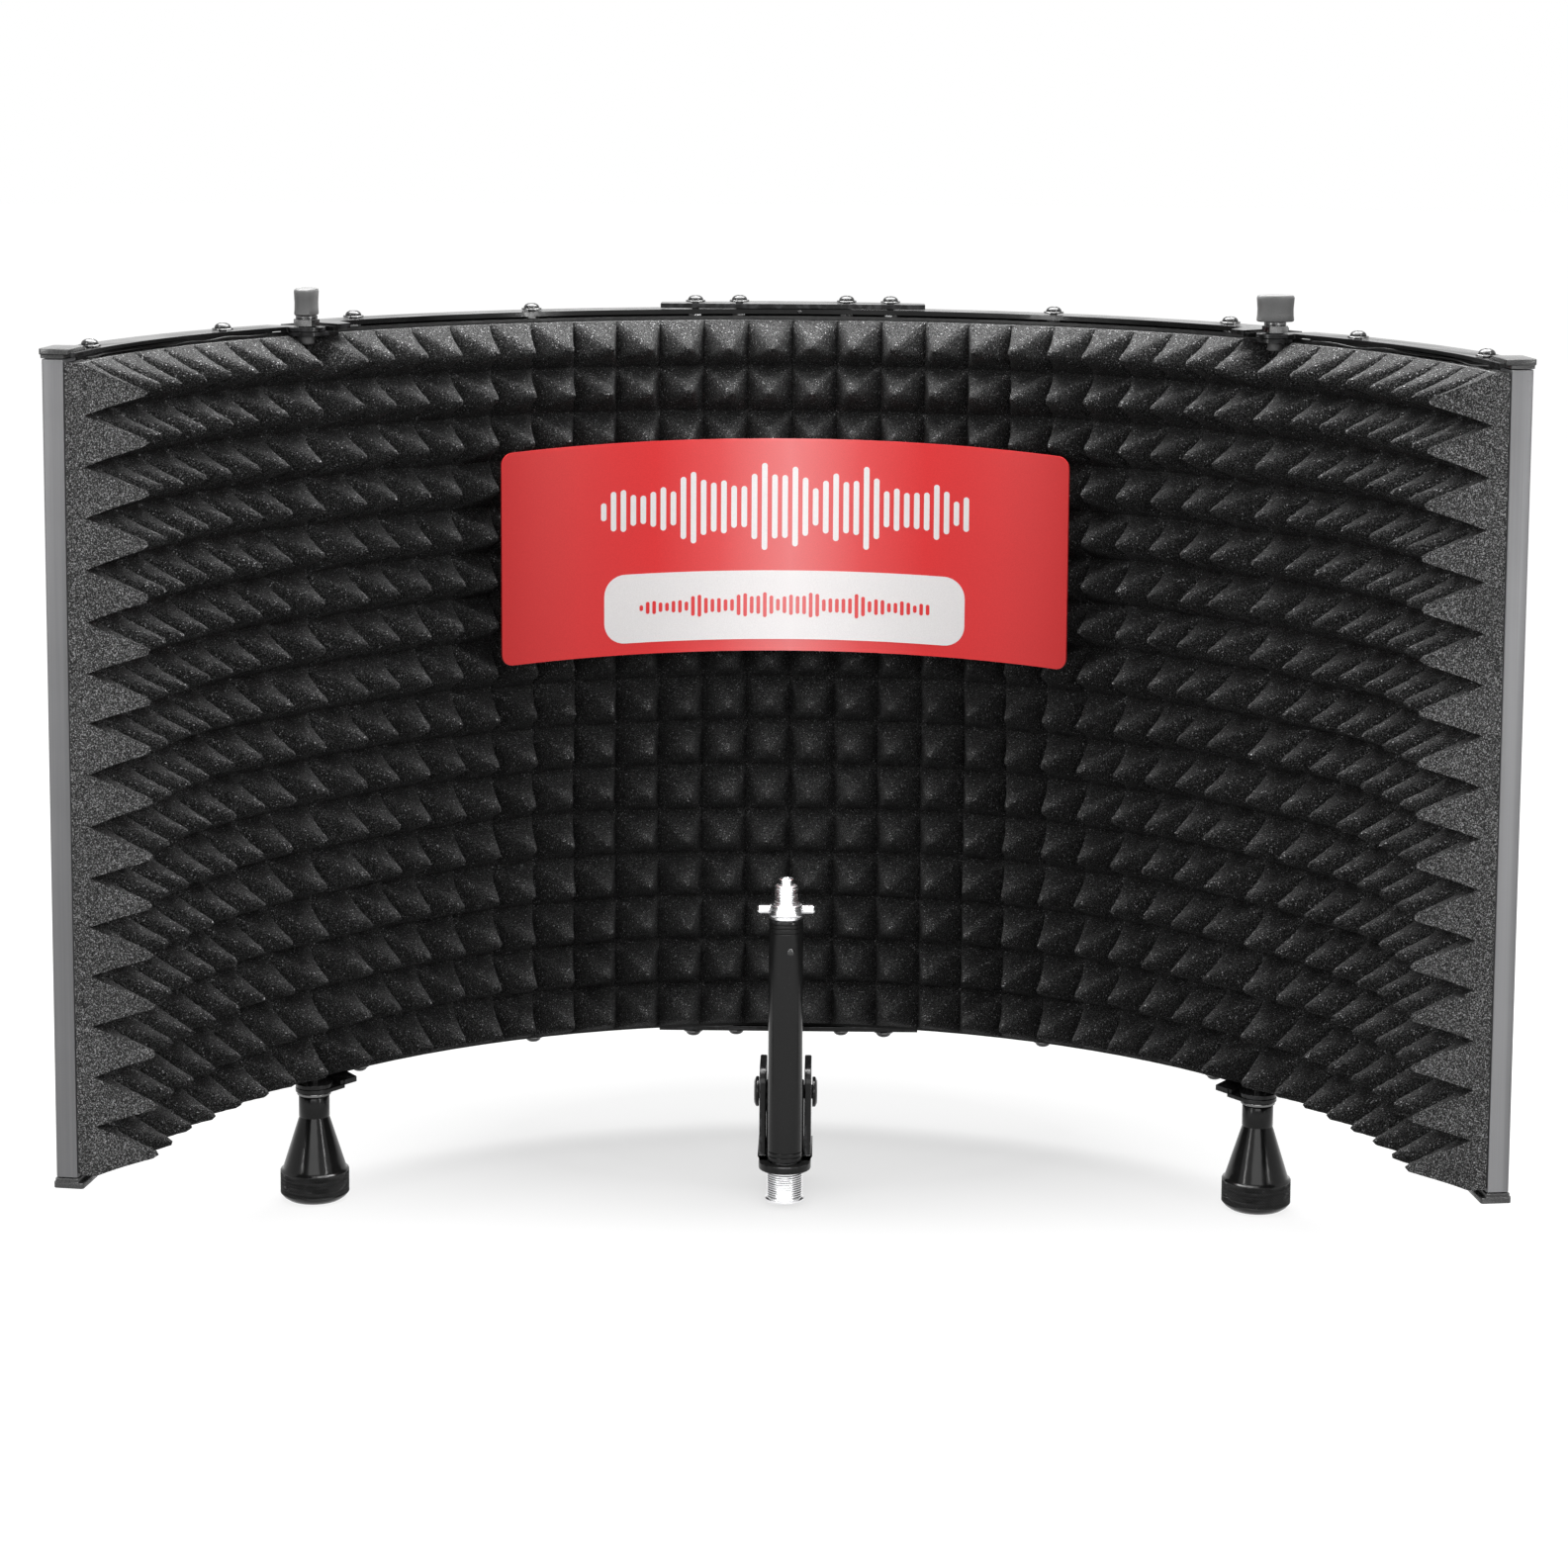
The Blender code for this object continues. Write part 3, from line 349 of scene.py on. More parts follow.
FINISH = {
    "foam": foam_finish(),
    "black_metal": gloss_black_finish(),
    "back_sheet": back_sheet_finish(),
    "post_metal": post_finish(),
    "cap_plastic": plastic_finish("cap_black", 0.016, 0.024, 0.27, 0.12),
    "knob_plastic": plastic_finish("knob_dark_grey", 0.055, 0.075, 0.55, 0.5),
    "chrome": chrome_finish(),
    "screw_metal": screw_finish(),
    "card": print_finish("card_red", (0.72, 0.028, 0.03), (0.82, 0.038, 0.04)),
}
# Painted light: a copy of the foam three times lighter and with more glints, for the blocks' sides and ends. It
# stands in for the front light these faces catch; the grain of the cut foam is real.
FOAM_CUT_PAINTED_LIGHTER = foam_finish("foam_charcoal_cut_painted_lighter", 3.0, 0.965)
CARD_WHITE = print_finish("card_white", (0.82, 0.8, 0.8), (0.92, 0.9, 0.9))
TUBE_BLACK = gloss_black_finish("tube_black", 0.01, (0.16, 0.26))
BODY_OF = {node: body for body, nodes in frame["record"]["behaviour"]["bodies"].items() for node in nodes}
SLOT_OF = {part["node"]: part["material_slot"] for part in frame["record"]["subparts"]}


# Meshes


def add(name, mesh, body, slot, stands_for=None, finish=None, sharp=35.0):
    """Puts a finished mesh into the scene as a piece of a body."""
    mesh.materials.clear()
    mesh.materials.append(finish or FINISH[slot])
    if sharp is not None:
        mesh.shade_smooth()
        mesh.set_sharp_from_angle(angle=math.radians(sharp))
    piece = bpy.data.objects.new(name, mesh)
    bpy.context.scene.collection.objects.link(piece)
    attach(piece, body)
    if stands_for:
        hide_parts(stands_for)
    return piece


def mesh_from(points, faces, name="shape"):
    mesh = bpy.data.meshes.new(name)
    mesh.from_pydata([tuple(map(float, p)) for p in points], [], [tuple(map(int, f)) for f in faces])
    mesh.validate()
    return mesh


def mesh_of(bm, name="shape"):
    bmesh.ops.recalc_face_normals(bm, faces=bm.faces)
    mesh = bpy.data.meshes.new(name)
    bm.to_mesh(mesh)
    bm.free()
    return mesh


def refined(node, bevel=0.25 * MM, segments=2, finish=None, sharp=30.0):
    """A smoother stand-in for a CAD node: its own mesh, facets joined and every corner rounded off."""
    bm = bmesh.new()
    bm.from_mesh(frame["nodes"][node].data)
    bmesh.ops.remove_doubles(bm, verts=bm.verts, dist=2e-6)
    bmesh.ops.dissolve_limit(bm, angle_limit=math.radians(0.3), verts=bm.verts, edges=bm.edges)
    corners = [e for e in bm.edges if len(e.link_faces) == 2 and e.calc_face_angle(0.0) > math.radians(sharp)]
    bmesh.ops.bevel(
        bm,
        geom=corners,
        offset=bevel,
        offset_type="OFFSET",
        segments=segments,
        profile=0.6,
        affect="EDGES",
    )
    return add(node + "_shell", mesh_of(bm), BODY_OF[node], SLOT_OF[node], node, finish, sharp=24.0)


def loft(rings, closed=False):
    """A closed mesh through rings with the same number of points; closed joins the last ring to the first."""
    count = len(rings[0])
    points = [p for ring in rings for p in ring]
    faces = []
    pairs = list(zip(range(len(rings)), range(1, len(rings))))
    if closed:
        pairs.append((len(rings) - 1, 0))
    for a, b in pairs:
        for i in range(count):
            j = (i + 1) % count
            faces.append((a * count + i, a * count + j, b * count + j, b * count + i))
    if not closed:
        faces.append(tuple(reversed(range(count))))
        faces.append(tuple(range((len(rings) - 1) * count, len(rings) * count)))
    return points, faces


def circle(radius, z, count, x=0.0, y=0.0):
    turns = [2 * math.pi * i / count for i in range(count)]
    return [(x + radius * math.cos(a), y + radius * math.sin(a), z) for a in turns]


def turned(profile, count=64, closed=False):
    """A solid of revolution about Z from (radius, z) pairs in metres, rising on its outside."""
    bm = bmesh.new()
    points, faces = loft([circle(r, z, count) for r, z in profile], closed)
    verts = [bm.verts.new(p) for p in points]
    for face in faces:
        bm.faces.new([verts[i] for i in face])
    return bm


# Foam


def waves(seed, count=5):
    """A smooth made-up unevenness over two coordinates, about -1 to 1."""
    rng = np.random.default_rng(seed)
    terms = rng.uniform((0.35, 0.35, 0.0), (1.7, 1.7, 2 * math.pi), (count, 3))
    signs = rng.choice((-1.0, 1.0), count)

    def value(u, v):
        total = sum(np.sin(a * u + s * b * v + c) for (a, b, c), s in zip(terms, signs))
        return total / math.sqrt(count)

    return value


def pyramids(u, v, seed):
    """Height share of a field of blunt square pyramids at column u and row v, each a little uneven."""
    rng = np.random.default_rng(seed)
    table = rng.uniform(-1.0, 1.0, (64, 64, 3))
    iu, iv = np.floor(u).astype(int) % 64, np.floor(v).astype(int) % 64
    lean_u, lean_v, tall = (table[iu, iv, k] for k in range(3))
    x, y = u - np.floor(u) - 0.5, v - np.floor(v) - 0.5
    x = x + 0.035 * lean_u * (1 - 4 * x * x)
    y = y + 0.03 * lean_v * (1 - 4 * y * y)
    ax, ay = np.abs(x) * 2, np.abs(y) * 2
    sharpness = 16.0
    d = np.log(np.exp(sharpness * ax) + np.exp(sharpness * ay)) / sharpness
    side = np.clip(1 - d, 0.0, 1.0)
    h = 1.13 * side - 0.13 * side * (1 - side) * 1.6
    top = 0.965 + 0.02 * tall
    soft = 0.07
    blend = np.clip(0.5 + 0.5 * (top - h) / soft, 0, 1)
    return top + (h - top) * blend - soft * blend * (1 - blend)


def foam_block(node, side, first, last, angle_of, seed):
    """One foam block: a fine field of pyramids in front, with plain sides and back."""
    steps_u = int(round((last - first) * CELL_STEPS))
    steps_v = ROWS * CELL_STEPS
    columns, rows = np.linspace(first, last, steps_u + 1), np.linspace(0, ROWS, steps_v + 1)
    u, v = np.meshgrid(columns, rows, indexing="ij")
    share = pyramids(u, v, seed)
    uneven, sway = waves(seed + 1), waves(seed + 2)
    radius = FOAM_BASE - (FOAM_BASE - FOAM_TIP) * share + 0.45 * MM * uneven(u, v)
    radius = np.where(share <= 0.001, np.minimum(radius, FOAM_BACK - 2 * MM), radius)
    inside_v = np.sin(np.pi * v / ROWS)
    touching = np.clip(12 * (inside_v - 0.06), 0.0, 1.0)
    inside_u = np.sin(np.pi * np.clip((u - first) / (last - first), 0, 1))
    shift = 0.02 * sway(v, u) * inside_v * inside_u
    if side:
        near_end = np.exp(-np.abs(last - u) / 0.8)
        shift = shift - 0.17 * touching * np.exp(-np.abs(u - first) / 0.5) + 0.05 * inside_v * near_end
    else:
        shift = shift + np.sign(u) * 0.21 * touching * np.exp(-np.abs(last - np.abs(u)) / 0.5)
    z = FOAM_LOW + PITCH * (v + 0.02 * uneven(v, u) * inside_v)
    z = z - 0.9 * MM * share * np.clip(v - (ROWS - 1), 0, 1)
    x, y = plan(side, radius, angle_of(u + shift))
    count_v = steps_v + 1
    points = list(np.stack([x.ravel(), y.ravel(), z.ravel()], 1))
    i, j = np.meshgrid(np.arange(steps_u), np.arange(steps_v), indexing="ij")
    corner = (i * count_v + j).ravel()
    quads = np.stack([corner, corner + 1, corner + count_v + 1, corner + count_v], 1)
    faces = [tuple(q) for q in quads]

    def at(i, j):
        return i * count_v + j

    rim = [(i, 0) for i in range(steps_u)]
    rim += [(steps_u, j) for j in range(steps_v)]
    rim += [(i, steps_v) for i in range(steps_u, 0, -1)]
    rim += [(0, j) for j in range(steps_v, 0, -1)]
    loop = [at(*p) for p in rim]
    for share_back in (0.06, 0.5, 1.0):
        fresh = []
        for place in rim:
            a, r = angle_of((u + shift)[place]), radius[place]
            px, py = plan(side, r + (FOAM_BACK - r) * share_back, a)
            fresh.append(len(points))
            points.append((float(px), float(py), z[place]))
        for k in range(len(rim)):
            m = (k + 1) % len(rim)
            faces.append((loop[k], loop[m], fresh[m], fresh[k]))
        loop = fresh
    back = dict(zip(rim, loop))
    for i in range(steps_u):
        low = [back[(i, 0)], back[(i + 1, 0)]]
        high = [back[(i + 1, steps_v)], back[(i, steps_v)]]
        right = [back[(steps_u, j)] for j in range(1, steps_v)] if i == steps_u - 1 else []
        left = [back[(0, j)] for j in range(steps_v - 1, 0, -1)] if i == 0 else []
        faces.append(tuple(low + right + high + left))
    bm = bmesh.new()
    verts = [bm.verts.new(p) for p in points]
    for face in faces:
        bm.faces.new([verts[k] for k in face])
    piece = add(node + "_block", mesh_of(bm), BODY_OF[node], "foam", node, sharp=50.0)
    # The block's sides and ends take the lighter foam copy, with its painted light.
    piece.data.materials.append(FOAM_CUT_PAINTED_LIGHTER)
    for face in list(piece.data.polygons)[steps_u * steps_v : steps_u * steps_v + 3 * len(rim)]:
        face.material_index = 1


def centre_angle(u):
    share = np.abs(u) / (CENTRE_COLUMNS / 2)
    return np.sign(u) * (np.abs(u) * math.degrees(PITCH / 0.245) - 1.3 * share**6)


def wing_angle(u):
    return 54.0 + 4.55 * u


foam_block("centre_foam", 0, -CENTRE_COLUMNS / 2, CENTRE_COLUMNS / 2, centre_angle, 11)
for name, side in SIDES.items():
    foam_block(name + "_wing_foam", side, 0.0, WING_COLUMNS, wing_angle, 40 + side)


# Perforated back sheets

HOLE_PITCH = 9.4 * MM
HOLE_R = 2.5 * MM
HOLE_POINTS = 12


def perforated(node, side, start, end):
    """A curved sheet with a round hole in each square cell, and a plain margin round them."""
    low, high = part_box(node)[0].z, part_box(node)[1].z
    margin = 9 * MM
    arc = math.radians(end - start) * SHEET_OUT
    across = int((arc - 2 * margin) / HOLE_PITCH)
    up = int((high - low - 2 * margin) / HOLE_PITCH)
    step_s, step_z = (arc - 2 * margin) / across, (high - low - 2 * margin) / up
    bm = bmesh.new()
    known = {}

    def vertex(s, z, layer):
        key = (round(s * 1e6), round(z * 1e6), layer)
        if key not in known:
            radius = SHEET_OUT - (0.0 if layer else SHEET_THICK)
            x, y = plan(side, radius, start + math.degrees(s / SHEET_OUT))
            known[key] = bm.verts.new((float(x), float(y), z))
        return known[key]

    def quad(a, b, c, d):
        bm.faces.new([vertex(*p, 1) for p in (a, b, c, d)])
        bm.faces.new([vertex(*p, 0) for p in (d, c, b, a)])

    square = [(-1, -1), (-1 / 3, -1), (1 / 3, -1), (1, -1), (1, -1 / 3), (1, 1 / 3)]
    square += [(-a, -b) for a, b in square]
    for i in range(across):
        for j in range(up):
            s0 = margin + (i + 0.5) * step_s
            z0 = low + margin + (j + 0.5) * step_z
            outer = [(s0 + a * step_s / 2, z0 + b * step_z / 2) for a, b in square]
            turns = [math.radians(225 + 30 * k) for k in range(HOLE_POINTS)]
            inner = [(s0 + HOLE_R * math.cos(t), z0 + HOLE_R * math.sin(t)) for t in turns]
            for k in range(HOLE_POINTS):
                m = (k + 1) % HOLE_POINTS
                quad(outer[k], outer[m], inner[m], inner[k])
                outside = [vertex(*inner[k], 1), vertex(*inner[m], 1)]
                inside = [vertex(*inner[m], 0), vertex(*inner[k], 0)]
                bm.faces.new(outside + inside)
    columns = [margin + i * step_s + k * step_s / 3 for i in range(across) for k in range(3)]
    columns.append(margin + across * step_s)
    rows = [low + margin + j * step_z + k * step_z / 3 for j in range(up) for k in range(3)]
    rows.append(low + margin + up * step_z)
    for a, b in zip(columns, columns[1:]):
        quad((a, low), (b, low), (b, rows[0]), (a, rows[0]))
        quad((a, rows[-1]), (b, rows[-1]), (b, high), (a, high))
    sides = [low, *rows, high]
    for a, b in zip(sides, sides[1:]):
        quad((0.0, a), (columns[0], a), (columns[0], b), (0.0, b))
        quad((columns[-1], a), (arc, a), (arc, b), (columns[-1], b))
    rim = [e for e in bm.edges if len(e.link_faces) == 1]
    bmesh.ops.bridge_loops(bm, edges=rim)
    add(node + "_perforated", mesh_of(bm), BODY_OF[node], "back_sheet", node, sharp=30.0)


def sheet_span(node, side):
    """The arc angles of a sheet's ends, from its CAD box turned back to the panel's own plan."""
    found = []
    for vertex in frame["nodes"][node].data.vertices:
        x, y = vertex.co.x, vertex.co.y - ARC_Y
        if side:
            x *= side
            c, s = math.cos(-WING_OPENING), math.sin(-WING_OPENING)
            dx, dy = x - HINGE[0], y - HINGE[1]
            x, y = HINGE[0] + c * dx - s * dy, HINGE[1] + s * dx + c * dy
        found.append(math.degrees(math.atan2(x, y)))
    return min(found), max(found)


perforated("centre_back_panel", 0, *sheet_span("centre_back_panel", 0))
for name, side in SIDES.items():
    node = name + "_wing_back_panel"
    perforated(node, side, *sheet_span(node, side))


# Rails, bracket, posts, caps and yoke: the CAD shapes with rounded corners

for where in ("top", "bottom"):
    refined(f"centre_{where}_rail", 0.09 * MM)
    for name in SIDES:
        refined(f"{name}_wing_{where}_rail", 0.15 * MM)
        refined(f"{name}_{where}_end_cap", 0.45 * MM, 3)
for name in SIDES:
    refined(name + "_end_post", 0.4 * MM, 3)
    refined(name + "_hinge_nut", 0.12 * MM)
    refined(name + "_foot_washer", 0.25 * MM)
refined("mount_bracket", 0.2 * MM)
refined("mount_yoke", 0.6 * MM, 3)
for node in ("pivot_bolt", "pivot_nut", "pivot_spacer"):
    refined(node, 0.4 * MM, 3)
refined("lock_ring", 0.35 * MM, 3)


# Screws

SCREW_HEAD_R = 3.3 * MM
SCREW_WASHER_R = 4.2 * MM
SCREW_WASHER = 0.7 * MM
SCREW_HEAD = 2.1 * MM
SHANK_R = 1.5 * MM
NUT_R = 3.0 * MM
NUT_TAIL = 0.5 * MM


def cross_recess(bm):
    """Cuts a cross-shaped driver recess into a screw's dome, whose top is at z 0."""
    target = bpy.data.objects.new("screw_blank", mesh_of(bm))
    cutter = bmesh.new()
    for turn in (0.0, math.pi / 2):
        rings = []
        for z, long, wide in ((-1.5, 0.9, 0.45), (-0.9, 1.35, 0.5), (0.4, 2.0, 0.62)):
            corners = ((-long, -wide), (long, -wide), (long, wide), (-long, wide))
            rings.append([(Matrix.Rotation(turn, 3, "Z") @ Vector((x, y, z))) * MM for x, y in corners])
        points, faces = loft(rings)
        verts = [cutter.verts.new(p) for p in points]
        for face in faces:
            cutter.faces.new([verts[i] for i in face])
    tool = bpy.data.objects.new("screw_cutter", mesh_of(cutter))
    for made in (target, tool):
        bpy.context.scene.collection.objects.link(made)
    cut = target.modifiers.new("recess", "BOOLEAN")
    cut.object = tool
    cut.operation = "DIFFERENCE"
    cut.solver = "EXACT"
    cut.use_self = True
    bpy.context.view_layer.update()
    evaluated = target.evaluated_get(bpy.context.evaluated_depsgraph_get())
    mesh = bpy.data.meshes.new_from_object(evaluated)
    for made in (target, tool):
        bpy.data.objects.remove(made)
    return mesh


def screw_mesh(length, with_nut):
    """A washer and a domed head with a cross recess, top at z 0, on a shank down to -length."""
    seat = -(SCREW_HEAD + SCREW_WASHER)
    low = -length
    profile = [(SHANK_R * 0.7, low), (SHANK_R, low + 0.3 * MM), (SHANK_R, seat)]
    profile += [(SCREW_WASHER_R - 0.1 * MM, seat)]
    profile += [(SCREW_WASHER_R, seat + 0.15 * MM), (SCREW_WASHER_R, seat + SCREW_WASHER - 0.15 * MM)]
    profile += [(SCREW_WASHER_R - 0.12 * MM, seat + SCREW_WASHER)]
    profile += [(SCREW_HEAD_R - 0.1 * MM, seat + SCREW_WASHER)]
    for step in range(9):
        t = math.radians(8 + 10.2 * step)
        profile.append((SCREW_HEAD_R * math.cos(t) ** 0.8, -SCREW_HEAD + SCREW_HEAD * math.sin(t)))
    mesh = cross_recess(turned(profile, 40))
    bm = bmesh.new()
    bm.from_mesh(mesh)
    if with_nut:
        nut_low = low + NUT_TAIL
        rings = []
        for z, r in ((0.0, 0.88), (0.25, 1.0), (1.75, 1.0), (2.0, 0.88)):
            rings.append([(x, y, nut_low + z * MM) for x, y, _ in circle(NUT_R * r, 0.0, 6)])
        points, faces = loft(rings)
        verts = [bm.verts.new(p) for p in points]
        for face in faces:
            bm.faces.new([verts[i] for i in face])
    return mesh_of(bm, "screw")


random.seed(7)
screws = {}
for node in sorted(frame["nodes"]):
    if "_screw_" not in node:
        continue
    low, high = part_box(node)
    with_nut = node.startswith("centre")
    key = (round((high.z - low.z) * 1e5), with_nut)
    if key not in screws:
        screws[key] = screw_mesh(high.z - low.z, with_nut)
    upright = "_top_" in node
    middle = (low + high) / 2
    place = Matrix.Translation((middle.x, middle.y, high.z if upright else low.z))
    if not upright:
        place = place @ Matrix.Rotation(math.pi, 4, "X")
    place = place @ Matrix.Rotation(random.uniform(0, math.pi), 4, "Z")
    mesh = screws[key].copy()
    mesh.transform(place)
    add(node + "_pan_head", mesh, BODY_OF[node], "screw_metal", node, sharp=28.0)


# Hinge knobs

KNOB_POINTS = 72
KNOB_HIGH = 10.6 * MM
KNOB_STEM_R = 2.9 * MM


def knob_ring(z, scale, broad=15.2 * MM, narrow=9.2 * MM):
    points = []
    for x, y, _ in circle(1.0, 0.0, KNOB_POINTS):
        px = math.copysign(abs(x) ** 0.9, x) * broad / 2 * scale
        py = math.copysign(abs(y) ** 0.78, y) * narrow / 2 * scale
        points.append((px, py, z))
    return points


def round_ring(z, radius):
    return circle(radius, z, KNOB_POINTS)


for name, turn in (("left", 84.0), ("right", 8.0)):
    node = name + "_hinge_knob"
    low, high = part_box(node)
    axis = JOINTS[name + "_knob_turn"]["pos_m"]
    top, base = high.z, high.z - KNOB_HIGH
    rings = [round_ring(low.z, 2.5 * MM), round_ring(low.z + 0.5 * MM, KNOB_STEM_R)]
    rings += [round_ring(base, KNOB_STEM_R)]
    steps = ((0.0, 0.9), (0.15, 0.95), (0.6, 0.985), (2.5, 0.955), (5.0, 0.945), (7.5, 0.97), (9.3, 0.99))
    steps += ((10.0, 0.965), (10.4, 0.92), (10.6, 0.84))
    rings += [knob_ring(base + z * MM, scale) for z, scale in steps]
    rings += [knob_ring(top, 0.5)]
    points, faces = loft(rings)
    mesh = mesh_from(points, faces)
    place = Matrix.Translation((axis[0], axis[1], 0.0)) @ Matrix.Rotation(math.radians(turn), 4, "Z")
    mesh.transform(place)
    add(node + "_grip", mesh, name + "_knob", "knob_plastic", node, sharp=32.0)


# Feet

FOOT_TURNS = 400
KNURLS = 80


def knurled_foot(top, neck):
    """A turned foot: knurled base, polished cone, short neck and the stud above it."""
    rings = []

    def plain(radius, z):
        rings.append(circle(radius * MM, z * MM, FOOT_TURNS))

    for r, z in ((10.6, 0.0), (11.2, 0.0), (12.9, 1.2), (13.7, 2.2)):
        plain(r, z)
    rows = 44
    low, high = 2.6, 11.8
    for row in range(rows + 1):
        z = low + (high - low) * row / rows
        fade = min(1.0, row / 3, (rows - row) / 3)
        ring = []
        for i in range(FOOT_TURNS):
            turn = 2 * math.pi * i / FOOT_TURNS
            a = KNURLS * turn / (2 * math.pi) + z / 1.1
            b = KNURLS * turn / (2 * math.pi) - z / 1.1
            groove = min(abs(a % 1 - 0.5), abs(b % 1 - 0.5)) * 2
            r = (14.0 - 0.42 * fade * (1 - min(1.0, groove * 1.6))) * MM
            ring.append((r * math.cos(turn), r * math.sin(turn), z * MM))
        rings.append(ring)
    for r, z in ((13.85, 12.05), (13.2, 12.35), (12.95, 12.75), (12.8, 13.1)):
        plain(r, z)
    for step in range(1, 9):
        t = step / 9
        plain(12.8 + (6.15 - 12.8) * t, 13.1 + (34.2 - 13.1) * t)
    for r, z in ((6.12, 34.2), (6.3, 34.5), (6.3, neck - 0.6), (6.1, neck - 0.25), (5.7, neck)):
        plain(r, z)
    for r, z in ((2.9, neck), (2.9, top - 0.4), (2.5, top)):
        plain(r, z)
    points, faces = loft(rings)
    return mesh_from(points, faces)


for name in SIDES:
    node = name + "_foot"
    axis = JOINTS[name + "_foot_turn"]["pos_m"]
    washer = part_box(name + "_foot_washer")
    mesh = knurled_foot(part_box(node)[1].z / MM, washer[0].z / MM - 0.3)
    mesh.transform(Matrix.Translation((axis[0], axis[1], 0.0)))
    add(node + "_turned", mesh, name + "_foot", "black_metal", node, sharp=38.0)


# Mic post tube, adapter and stand insert, about the post's axis

tube_low, tube_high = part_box("mic_post_tube")
POST = ((tube_low.x + tube_high.x) / 2, (tube_low.y + tube_high.y) / 2)
TO_POST = Matrix.Translation((*POST, 0.0))


def on_post(node, profile, slot, closed, suffix, finish=None, count=96, sharp=32.0):
    bm = turned([(r * MM, z * MM) for r, z in profile], count, closed)
    mesh = mesh_of(bm)
    mesh.transform(TO_POST)
    return add(node + suffix, mesh, BODY_OF[node], slot, node, finish, sharp)


z0, z1 = tube_low.z / MM, tube_high.z / MM
tube_profile = [(6.6, z0), (7.0, z0 + 0.4)]
for groove in (2.2, 4.0):
    tube_profile += [(7.0, z0 + groove - 0.3), (6.8, z0 + groove), (7.0, z0 + groove + 0.3)]
for groove in (5.2, 3.2, 1.7):
    tube_profile += [(7.0, z1 - groove - 0.3), (6.75, z1 - groove), (7.0, z1 - groove + 0.3)]
tube_profile += [(7.0, z1 - 0.5), (6.7, z1), (5.5, z1), (5.5, z0)]
on_post("mic_post_tube", tube_profile, "black_metal", True, "_sleeve", TUBE_BLACK)

# The yoke's web, a plate between its ears just behind the tube
web = bmesh.new()
bmesh.ops.create_cube(web, size=1.0)
yoke_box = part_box("mount_yoke")
bmesh.ops.transform(web, matrix=Matrix.Diagonal((15.4 * MM, 1.6 * MM, 32.0 * MM, 1.0)), verts=web.verts)
bmesh.ops.bevel(web, geom=web.edges[:], offset=0.4 * MM, segments=2, profile=0.5, affect="EDGES")
web_mesh = mesh_of(web)
web_mesh.transform(Matrix.Translation((POST[0], tube_high.y + 1.4 * MM, yoke_box[0].z + 18.5 * MM)))
add("mount_yoke_web", web_mesh, "mic_yoke", "black_metal")

adapter_low, adapter_high = (corner.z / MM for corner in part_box("thread_adapter"))
ring_low, ring_high = (corner.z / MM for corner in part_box("lock_ring"))
adapter_profile = [(4.8, adapter_low), (5.2, adapter_low + 0.4), (5.2, z1 + 0.3)]
adapter_profile += [(6.6, z1 + 0.3), (6.8, z1 + 0.5)]
adapter_profile += [(6.8, ring_low - 0.55), (6.5, ring_low - 0.3), (4.45, ring_low - 0.3)]
thread = ring_low
while thread < adapter_high - 5.2:
    adapter_profile += [(4.42, thread), (4.76, thread + 0.4), (4.76, thread + 0.55), (4.42, thread + 0.95)]
    thread += 1.05
adapter_profile += [(4.7, adapter_high - 4.0), (4.76, adapter_high - 3.7), (4.5, adapter_high - 3.1)]
adapter_profile += [(3.9, adapter_high - 2.7), (3.1, adapter_high - 2.6), (3.1, adapter_high - 0.3)]
adapter_profile += [(2.8, adapter_high), (1.9, adapter_high)]
adapter_profile += [(1.7, adapter_high - 0.3), (1.6, adapter_high - 2.2)]
on_post("thread_adapter", adapter_profile, "chrome", False, "_threaded")

insert_low, insert_high = (corner.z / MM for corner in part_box("stand_insert"))
yoke_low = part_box("mount_yoke")[0].z / MM
insert_profile = [(7.6, insert_low), (8.1, insert_low + 0.25)]
insert_profile += [(8.2, insert_low + 0.7), (8.1, insert_low + 1.2)]
insert_profile += [(7.3, insert_low + 1.5)]
thread = insert_low + 1.7
while thread < yoke_low - 1.4:
    insert_profile += [(7.05, thread), (7.4, thread + 0.4), (7.4, thread + 0.5), (7.05, thread + 0.9)]
    thread += 0.94
insert_profile += [(7.05, yoke_low - 0.35), (5.2, yoke_low - 0.3), (5.2, insert_high), (3.6, insert_high)]
insert_profile += [(3.6, insert_low + 11.0)]
thread = insert_low + 10.4
while thread > insert_low + 1.2:
    insert_profile += [(4.76, thread), (4.5, thread - 0.5)]
    thread -= 1.0
insert_profile += [(4.76, insert_low + 0.6), (5.2, insert_low)]
on_post("stand_insert", insert_profile, "chrome", True, "_threaded")


def small_dome(name, radius, high, place, towards, body, slot, stem=1.0 * MM):
    """A small domed rivet or set screw with a dimple in it, facing a direction."""
    profile = [(radius * 0.96, -stem), (radius, -stem + 0.1 * MM), (radius, 0.0)]
    turns = [math.radians(a) for a in range(15, 75, 15)]
    profile += [(radius * math.cos(a), high * math.sin(a)) for a in turns]
    profile += [(radius * 0.22, high * 0.9), (radius * 0.16, high * 0.5)]
    mesh = mesh_of(turned(profile, 32))
    turn = Vector(towards).to_track_quat("Z", "Y").to_matrix().to_4x4()
    mesh.transform(Matrix.Translation(place) @ turn)
    return add(name, mesh, body, slot, sharp=30.0)


